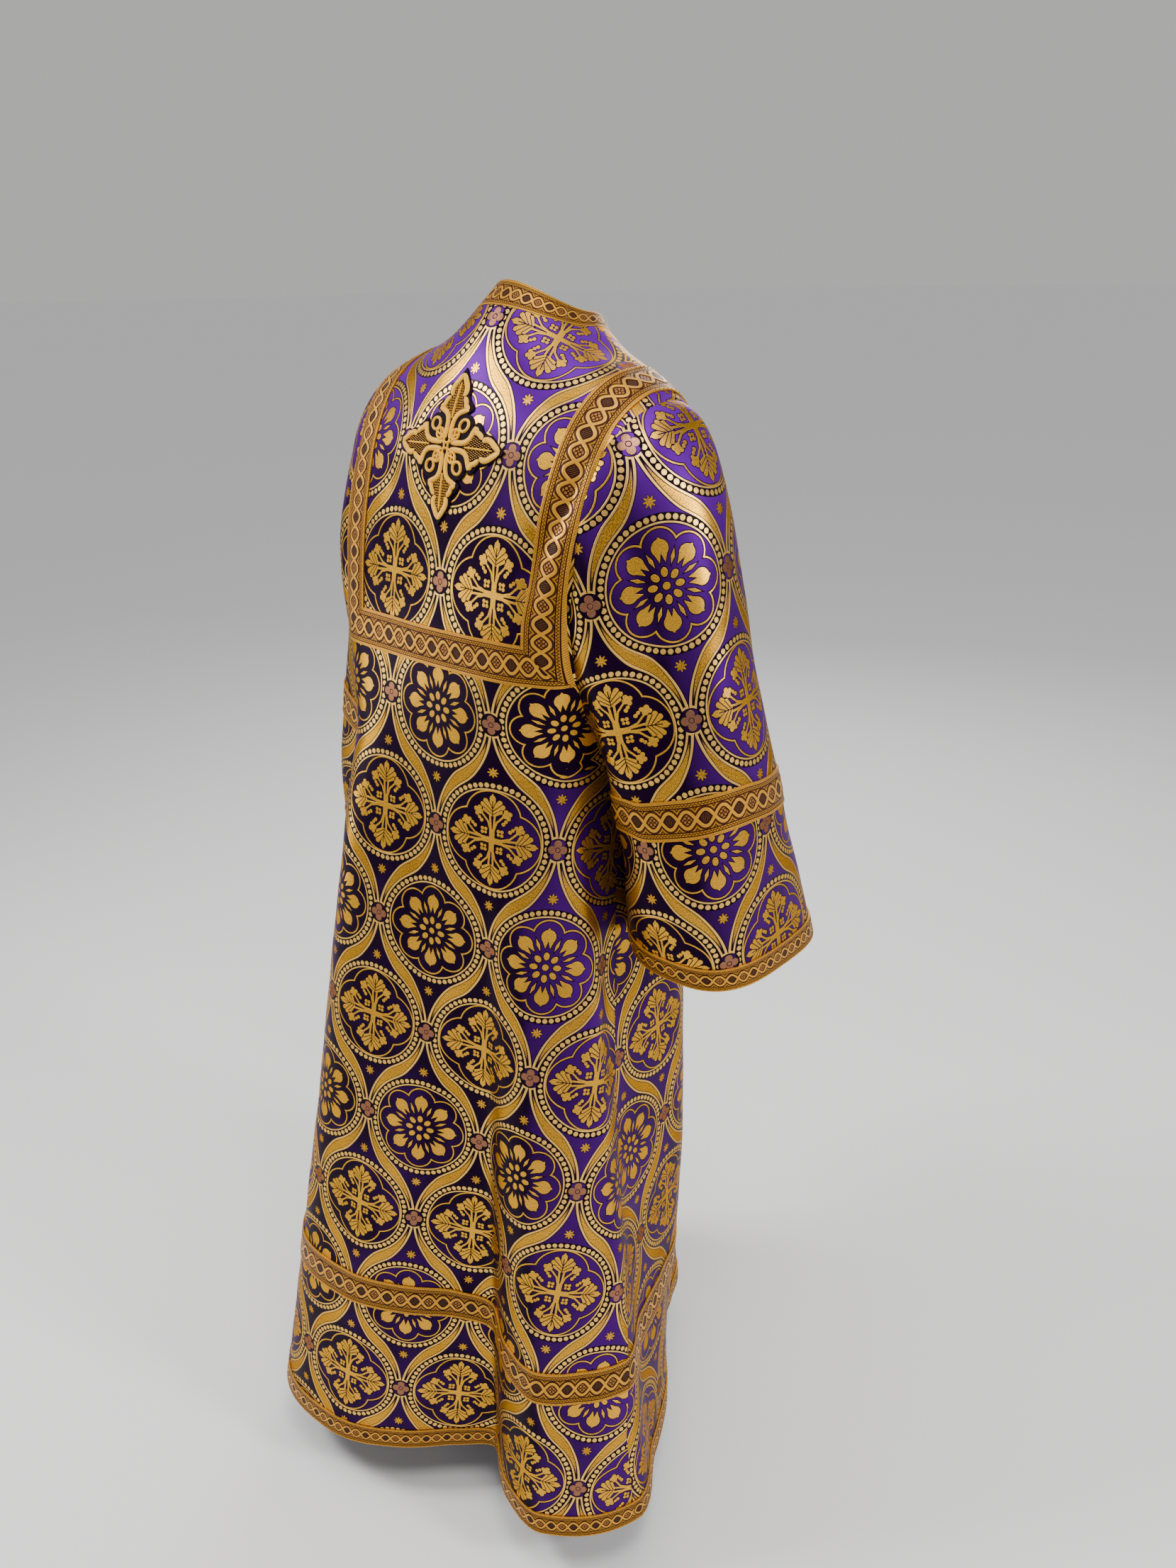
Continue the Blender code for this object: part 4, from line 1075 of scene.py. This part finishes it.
def crossGold(name, panel, materials):
    # raised satin cords laid on the ground along curves drawn flat
    grid, rows, columns = panel["points"], panel["points"].shape[0], panel["points"].shape[1]
    index = np.arange(rows * columns).reshape(rows, columns)[:cross["rows"][1] + 4]
    quads = np.stack([index[:-1, :-1], index[:-1, 1:], index[1:, 1:], index[1:, :-1]], -1).reshape(-1, 4)
    surface = BVHTree.FromPolygons([Vector(p) for p in grid.reshape(-1, 3)], quads.tolist())
    normals = panel["normals"].reshape(-1, 3)
    up, out = crossAxes()
    facets = cross["facets"]
    verts, faces, places = [], [], []

    def lay(path, width, height, closed=False):
        on, facing = [], []
        for x, y in path:
            # seen from outside, +x of the drawing is the wearer's right
            start = Vector(cross["at"]) - Vector((1, 0, 0)) * x * 0.001 + up * y * 0.001 + out * 0.05
            hit, _, face, _ = surface.ray_cast(start, -out)
            on.append(np.array(hit))
            facing.append(normals[quads[face]].mean(0))
        on, facing = np.array(on), np.array(facing)
        if closed:
            way = np.roll(on, -1, 0) - np.roll(on, 1, 0)
        else:
            way = np.gradient(on, axis=0)
        side, facing = unit(np.cross(way, facing)), unit(facing)
        base = 2 * cloth["gap"] + cross["ground"]
        start, count = len(verts), len(on)
        angles = np.linspace(0, math.pi, facets)
        length = lengthAlong(on)
        share = np.arange(count) / (count - 1)
        slim = np.ones(count)
        if not closed:
            ends = np.minimum(1, np.minimum(share, 1 - share) * 6)**0.6
            slim = cross["taper"] + (1 - cross["taper"]) * ends
        for p, n, s, thin in zip(on, facing, side, slim):
            for a in angles:
                verts.append(p + s * math.cos(a) * width * thin * 0.0005
                             + n * (base + math.sin(a) * height * thin * 0.001))
        for i in range(count if closed else count - 1):
            a, b = start + i * facets, start + (i + 1) % count * facets
            here, ahead = length[i], length[i] + np.linalg.norm(on[(i + 1) % count] - on[i])
            for j in range(facets):
                m = (j + 1) % facets
                faces.append([a + j, b + j, b + m, a + m])
                low, high = j / facets / 1000, (j + 1) / facets / 1000
                places.append([(here, low), (ahead, low), (ahead, high), (here, high)])
        if not closed:
            for i, flip in ((0, False), (count - 1, True)):
                ring = [start + i * facets + j for j in range(facets)]
                faces.append(ring[::-1] if flip else ring)
                places.append([(0.0, 0.0)] * facets)

    def spun(points, degrees):
        return np.array(points, float) @ np.array(Matrix.Rotation(math.radians(degrees), 2)).T

    edges = np.array(cross["edges"])
    for turn in (0, 90, 180, 270):
        for path, width in zip(cross["cords"], cross["cordWidths"]):
            for side in (1, -1):
                lay(spun(smoothPath(path, 6) * [1, side], turn), width, cross["cordHeight"])
        lay(spun(smoothPath(cross["vein"], 6), turn), cross["veinWidth"], cross["veinHeight"])
        for row, d in enumerate(np.arange(edges[0, 0], edges[-1, 0], cross["stitchEvery"])):
            reach = np.interp(d, edges[:, 0], edges[:, 1])
            for side in (1, -1):
                start = 1.7 + cross["stitchApart"] / 2 * (row % 2)
                for w in np.arange(start, reach, cross["stitchApart"]):
                    path = [(d - 0.9, side * w), (d, side * (w + 0.15)), (d + 0.9, side * (w + 0.3))]
                    lay(spun(path, turn), cross["stitch"], cross["stitchHeight"])
        for at, long, short, width in cross["rings"]:
            oval = [(at + long * math.cos(a), short * math.sin(a))
                    for a in np.linspace(0, 2 * math.pi, 24, endpoint=False)]
            lay(spun(oval, turn + 45), width, cross["cordHeight"], True)
        for side, height in zip((1, -1), cross["linkHeights"]):
            path = [(d, side * 2.3 * math.cos(d * 0.33)) for d in np.linspace(0, 23, 14)]
            lay(spun(path, turn + 45), cross["link"], height)
    mesh = bpy.data.meshes.new(name)
    mesh.from_pydata([tuple(p) for p in verts], [], faces)
    layer = mesh.uv_layers.new(name="cloth")
    layer.data.foreach_set("uv", np.array([c for face in places for p in face for c in p], float))
    shell = bmesh.new()
    shell.from_mesh(mesh)
    bmesh.ops.recalc_face_normals(shell, faces=shell.faces)
    shell.to_mesh(mesh)
    shell.free()
    return finishMesh(name, mesh, materials)


# materials
def startMaterial(name, roughness, specular):
    # a material whose u and v are millimetres of flat cloth
    made = bpy.data.materials.new(name)
    made.use_nodes = True
    tree = made.node_tree
    shader = tree.nodes["Principled BSDF"]
    shader.inputs["Roughness"].default_value = roughness
    shader.inputs["Specular IOR Level"].default_value = specular
    place = tree.nodes.new("ShaderNodeUVMap")
    place.uv_map = "cloth"
    split = tree.nodes.new("ShaderNodeSeparateXYZ")
    tree.links.new(place.outputs["UV"], split.inputs[0])
    u, v = Field(tree, split.outputs[0]) * 1000.0, Field(tree, split.outputs[1]) * 1000.0
    return made, tree, shader, u, v


def noise(tree, u, v, across, along, detail=2.0):
    # unevenness of the weave; its size in millimetres across and along
    joined = tree.nodes.new("ShaderNodeCombineXYZ")
    tree.links.new((u / across).socket, joined.inputs[0])
    tree.links.new((v / along).socket, joined.inputs[1])
    node = tree.nodes.new("ShaderNodeTexNoise")
    node.inputs["Scale"].default_value = 1.0
    node.inputs["Detail"].default_value = detail
    tree.links.new(joined.outputs[0], node.inputs["Vector"])
    return Field(tree, node.outputs[0])


def mixColour(tree, share, first, second):
    node = tree.nodes.new("ShaderNodeMix")
    node.data_type = "RGBA"
    sockets = [s for s in node.inputs if s.enabled]
    for socket, value in zip(sockets, (share, first, second)):
        if isinstance(value, Field):
            tree.links.new(value.socket, socket)
        elif isinstance(value, bpy.types.NodeSocket):
            tree.links.new(value, socket)
        else:
            socket.default_value = tuple(value) + (1.0,)
    return [s for s in node.outputs if s.enabled][0]


def addBump(tree, shader, height, distance):
    bump = tree.nodes.new("ShaderNodeBump")
    bump.inputs["Distance"].default_value = distance
    bump.inputs["Strength"].default_value = 1.0
    tree.links.new(height.socket, bump.inputs["Height"])
    tree.links.new(bump.outputs[0], shader.inputs["Normal"])


# colours and finish of the brocade; the satin carries painted sheen and shade: its colour is painted lighter
# where the surface turns up or to a side and darker where it hangs, standing in for light from above
brocadeFinish = dict(
    # the first two colours are the same satin, as lit and in painted shade
    satin=(0.110, 0.005, 0.290), satinPaintedShade=(0.008, 0.0005, 0.015), dark=(0.003, 0.001, 0.004),
    gold=(0.170, 0.062, 0.003), goldLight=(0.950, 0.505, 0.050), goldDull=(0.220, 0.090, 0.080),
    edge=(0.860, 0.520, 0.130), rim=(0.50, 0.34, 0.24),
    paintedSheenUp=1.5, paintedSheenSide=0.55, paintedSheenUneven=0.5, paintedSheenFrom=0.60, figureLight=0.30, edgeLight=0.8, knotDull=0.8,
    metalGold=0.55, metalSatin=0.35, roughness=0.33, roughUneven=0.12, goldSmoother=0.08,
    patch=(60.0, 90.0), grain=(0.9, 1.6), twill=1.4, toneGrain=2.6, toneTwill=0.25, tonePatch=0.5,
    toneFrom=1.25, raised=0.00025, raisedGold=0.6, raisedGrain=0.35, raisedTwill=0.25,
)


def brocadeMaterial():
    b = brocadeFinish
    made, tree, shader, u, v = startMaterial("figuredBrocade", 0.42, 0.08)
    shader.inputs["Specular Tint"].default_value = b["rim"] + (1.0,)
    shape = brocadeShapes(u, v)
    gold = cover(shape["gold"]) * (1.0 - cover(shape["hairline"], 0.3))
    dark = cover(shape["dark"], 0.3) * (1.0 - gold)
    wide, fine = noise(tree, u, v, *b["patch"]), noise(tree, u, v, *b["grain"], 4.0)
    twill = sine((u * 0.8 + v) * (2 * math.pi / b["twill"])) * 0.5 + 0.5
    facing = tree.nodes.new("ShaderNodeNewGeometry")
    split = tree.nodes.new("ShaderNodeSeparateXYZ")
    tree.links.new(facing.outputs["Normal"], split.inputs[0])
    toSide, upward = Field(tree, split.outputs[0]), Field(tree, split.outputs[2])
    # painted sheen and shade: the satin's colour goes from its shaded copy to its lit copy as the normal
    # turns up or to a side, unevenly in wide patches
    paintedSheen = upward * b["paintedSheenUp"] + size(toSide) * b["paintedSheenSide"] + wide * b["paintedSheenUneven"]
    paintedSheen = (paintedSheen - b["paintedSheenFrom"]).math("ADD", 0.0, clamp=True)
    satin = mixColour(tree, paintedSheen, b["satinPaintedShade"], b["satin"])
    tone = fine * b["toneGrain"] + twill * b["toneTwill"] + wide * b["tonePatch"]
    tone = (tone - b["toneFrom"]).math("ADD", 0.0, clamp=True)
    metal = mixColour(tree, tone, b["gold"], b["goldLight"])
    metal = mixColour(tree, cover(shape["figure"]) * b["figureLight"], metal, b["goldLight"])
    metal = mixColour(tree, cover(shape["edge"]) * b["edgeLight"], metal, b["edge"])
    metal = mixColour(tree, cover(shape["knot"]) * b["knotDull"], metal, b["goldDull"])
    colour = mixColour(tree, dark, satin, b["dark"])
    colour = mixColour(tree, gold, colour, metal)
    tree.links.new(colour, shader.inputs["Base Color"])
    metallic = gold * b["metalGold"] + b["metalSatin"] - dark * b["metalSatin"]
    tree.links.new(metallic.socket, shader.inputs["Metallic"])
    rough = gold * -b["goldSmoother"] + fine * b["roughUneven"] + b["roughness"]
    tree.links.new(rough.socket, shader.inputs["Roughness"])
    relief = gold * b["raisedGold"] + fine * b["raisedGrain"] + twill * gold * b["raisedTwill"]
    addBump(tree, shader, relief, b["raised"])
    return made


galloonFinish = dict(
    gold=(0.135, 0.045, 0.002), light=(0.700, 0.330, 0.030), line=(0.020, 0.001, 0.002),
    plum=(0.010, 0.0005, 0.005), pale=(0.380, 0.165, 0.036),
    eyeInside=2.5, hatchEvery=1.7, hatchHalf=0.30, hatchShare=0.25, cordLight=0.75, twistShade=0.6,
    widerLine=0.2, dotLine=0.9, twistFrom=0.55, grain=1.4, grainFrom=0.2, metallic=0.65, raised=0.00025,
)


def galloonMaterial():
    g = galloonFinish
    made, tree, shader, t, s = startMaterial("goldGalloon", 0.42, 0.08)
    part = galloonShapes(t, s)
    fine = noise(tree, t, s, 1.2, 0.8)
    hatch = cover(size(wrap(t, g["hatchEvery"])) - g["hatchHalf"], 0.3)
    inside = cover(g["eyeInside"] - part["inEye"])
    plum = inside * part["other"]
    pale = inside * (1.0 - part["other"])
    line = cover(part["line"] - g["widerLine"], 0.3)
    rope = cover(galloon["rope"] - part["away"])
    grain = (fine * g["grain"] - g["grainFrom"]).math("ADD", 0.0, clamp=True)
    bright = upper(cover(part["near"] - galloon["cord"]), rope) * g["cordLight"]
    dots = pale * cover(part["dots"] - g["dotLine"]) * (1.0 - cover(part["dots"]))
    shade = cover(part["twist"] + g["twistFrom"], 0.4) * rope * g["twistShade"]
    colour = mixColour(tree, grain, g["gold"], g["light"])
    for share, name in ((bright, "light"), (pale, "pale"), (dots, "line"),
                        (plum * (1.0 - hatch * g["hatchShare"]), "plum"), (line, "line"), (shade, "line")):
        colour = mixColour(tree, share, colour, g[name])
    tree.links.new(colour, shader.inputs["Base Color"])
    tree.links.new(((1.0 - upper(line, plum)) * g["metallic"]).socket, shader.inputs["Metallic"])
    addBump(tree, shader, fine * 0.5 + (1.0 - line) * 0.5, g["raised"])
    return made


def plainMaterial(name, colour, second, roughness, metallic, threads, specular):
    made, tree, shader, u, v = startMaterial(name, roughness, specular)
    shader.inputs["Metallic"].default_value = metallic
    weave = sine(u * (2 * math.pi / threads[0])) * 0.5 + sine(v * (2 * math.pi / threads[1])) * 0.3
    weave = weave + noise(tree, u, v, threads[0] * 3, threads[1] * 3)
    share = (weave * 0.5 + 0.1).math("ADD", 0.0, clamp=True)
    tree.links.new(mixColour(tree, share, colour, second), shader.inputs["Base Color"])
    addBump(tree, shader, weave, threads[2])
    return made


# each plain finish: two colours, roughness, metallic, length across and along and height of its weave, gloss
plainFinishes = dict(
    brocadeReverse=((0.055, 0.016, 0.095), (0.110, 0.050, 0.090), 0.62, 0.0, (1.1, 1.1, 0.0002), 0.5),
    darkGround=((0.004, 0.001, 0.005), (0.012, 0.003, 0.014), 0.60, 0.0, (1.0, 1.4, 0.0003), 0.08),
    satinGoldThread=((0.980, 0.420, 0.008), (1.000, 0.620, 0.040), 0.32, 0.16, (0.55, 400.0, 0.0002), 0.5),
    sewingThread=((0.240, 0.090, 0.008), (0.520, 0.240, 0.030), 0.45, 0.20, (0.5, 2.0, 0.0001), 0.2),
)
brocadeCloth = brocadeMaterial()
goldBand = galloonMaterial()
reverse, crossDark, goldThread, sewingThread = (plainMaterial(name, *finish)
                                                for name, finish in plainFinishes.items())
bandMaterials = (goldBand, sewingThread)
print("materials made")


# pieces
def addPanel(name, panel, closed, node, start):
    settle(wall(name, panel["points"], panel["normals"], panel["flat"] - np.array(brocadeStart[start]),
                -cloth["thickness"], 0.0, closed, (brocadeCloth, reverse)), node)


backPanel, frontPanel = bodyPanel("back"), bodyPanel("front")
sleeves = {side: sleevePanel(side) for side in ("right", "left")}
print("panels cut")

bandKinds = dict(wide=(0.042, 18.0), narrow=(0.027, 13.5))   # width in metres, an eye's length in millimetres
for which, panel in (("back", backPanel), ("front", frontPanel)):
    end, heights = which.capitalize(), panel["heights"]
    addPanel("tunic" + end, panel, False, "body_" + which, which)
    for name, node, kind, top, low in (
            ("upperHemBand", "upper_hem_band_", "wide", cloth["upperBandTop"], cloth["upperBandLow"]),
            ("hemBand", "hem_band_", "narrow", cloth["hemBandTop"], cloth["hemZ"])):
        rows = np.where((heights <= top + 1e-6) & (heights >= low - 1e-6))[0]
        settle(rowBand(name + end, panel, rows, bandMaterials, *bandKinds[kind]), node + which)
    settle(yokeBand("yokeBandAcross" + end, (panel,), None, bandMaterials),
           "yoke_band_across_" + which)
print("back and front done")

bandStart = fineness["sleeveRows"]
cuffStart = bandStart + fineness["bandRows"] + fineness["sleeveGapRows"]
for side, panel in sleeves.items():
    end = side.capitalize()
    addPanel("sleeve" + end, panel, True, "sleeve_" + side, side)
    for name, node, kind, rows in (
            ("sleeveBand", "sleeve_band_", "wide", slice(bandStart, bandStart + fineness["bandRows"] + 1)),
            ("cuffBand", "cuff_band_", "narrow", slice(cuffStart, cuffStart + fineness["edgeRows"] + 1))):
        band = rowBand(name + end, panel, rows, bandMaterials, *bandKinds[kind], True)
        settle(band, node + side)
    settle(yokeBand("yokeBand" + end, (backPanel, frontPanel), side, bandMaterials),
           "yoke_band_" + side)
print("sleeves and yoke bands done")

settle(collarBand("collarBand", bandMaterials), "collar")
settle(crossGround("crossGround", backPanel, (crossDark,)), "cross_ground")
settle(crossGold("crossGold", backPanel, (goldThread,)), "cross_gold")
print("collar and cross done")

for which, panel in (("back", backPanel), ("front", frontPanel)):
    flatSize, area = clothSize(panel)
    bands = [pieces[name + which] for name in ("upper_hem_band_", "hem_band_", "yoke_band_across_")]
    if which == "back":
        bands += [pieces[name] for name in ("collar", "cross_ground", "cross_gold", "yoke_band_right",
                                            "yoke_band_left")]
    pieces["body_" + which]
    print("flat size of the", which, flatSize, area)
for side, panel in sleeves.items():
    flatSize, area = clothSize(panel)
    pieces["sleeve_" + side]
    pieces["sleeve_band_" + side]
    pieces["cuff_band_" + side]
    print("flat size of the sleeve", side, flatSize, area)

# studio: a pale floor under the tunic, soft lights and the photograph's angle
studio = dict(floorZ=-1.46, floorSize=300.0, floorColour=(0.80, 0.79, 0.78), floorRoughness=0.8,
              horizon=(0.500, 0.495, 0.490), overhead=(0.12, 0.12, 0.13),
              dimFrom=0.28, dimming=3.0, sun=1.3, sunWidth=50.0)
lights = (
    # name, place, aimed at, size, power
    ("keyLight", (1.25, 1.15, 0.95), (0.0, 0.05, -0.10), 0.6, 52.0),
    ("topLight", (-0.9, 0.5, 1.3), (-0.1, 0.0, -0.3), 0.6, 22.0),
    ("sideLight", (-2.6, -0.6, 0.6), (-0.2, 0.0, -0.5), 0.5, 60.0),
    ("lowLight", (1.9, 1.6, -0.7), (0.0, 0.1, -1.0), 0.3, 10.0),
    ("frontLight", (1.4, -2.4, 0.9), (0.0, 0.0, -0.5), 1.2, 40.0),
)
camera = dict(place=(-0.91923882, 0.87423882, 0.03), lens=27.03,
              right=(-0.72655649, -0.68691945, -0.01604186), up=(0.25989434, -0.2963535, 0.91903729),
              ahead=(0.63605865, -0.66356332, -0.39384403))

floorMesh = bpy.data.meshes.new("floor")
half = studio["floorSize"] / 2
floorMesh.from_pydata([(-half, -half, studio["floorZ"]), (half, -half, studio["floorZ"]),
                       (half, half, studio["floorZ"]), (-half, half, studio["floorZ"])], [], [(0, 1, 2, 3)])
floor = addObject("floor", floorMesh)
floorPaint = bpy.data.materials.new("paleFloor")
floorPaint.use_nodes = True
floorShader = floorPaint.node_tree.nodes["Principled BSDF"]
floorShader.inputs["Base Color"].default_value = studio["floorColour"] + (1.0,)
floorShader.inputs["Roughness"].default_value = studio["floorRoughness"]
floorMesh.materials.append(floorPaint)

# the surroundings are pale at the horizon and dimmer overhead
world = bpy.data.worlds.new("studio")
world.use_nodes = True
sky = world.node_tree
direction = sky.nodes.new("ShaderNodeTexCoord")
height = sky.nodes.new("ShaderNodeSeparateXYZ")
sky.links.new(direction.outputs["Generated"], height.inputs[0])
dim = Field(sky, height.outputs[2]) - studio["dimFrom"]
dim = dim.math("MULTIPLY_ADD", studio["dimming"], 0.0, clamp=True)
skyColour = mixColour(sky, dim, studio["horizon"], studio["overhead"])
sky.links.new(skyColour, sky.nodes["Background"].inputs["Color"])
bpy.context.scene.world = world

sun = bpy.data.lights.new("sun", "SUN")
sun.energy, sun.angle = studio["sun"], math.radians(studio["sunWidth"])
addObject("sun", sun)

for name, place, aim, width, power in lights:
    light = bpy.data.lights.new(name, "AREA")
    light.size, light.energy = width, power
    lamp = addObject(name, light)
    lamp.location = place
    lamp.rotation_euler = (Vector(aim) - Vector(place)).to_track_quat("-Z", "Y").to_euler()

eye = bpy.data.cameras.new("photoCamera")
eye.lens, eye.sensor_width = camera["lens"], 36.0
viewer = addObject("photoCamera", eye)
viewer.matrix_world = Matrix([(camera["right"][k], camera["up"][k], -camera["ahead"][k], camera["place"][k])
                              for k in range(3)] + [(0, 0, 0, 1)])
bpy.context.scene.camera = viewer
print("studio set")
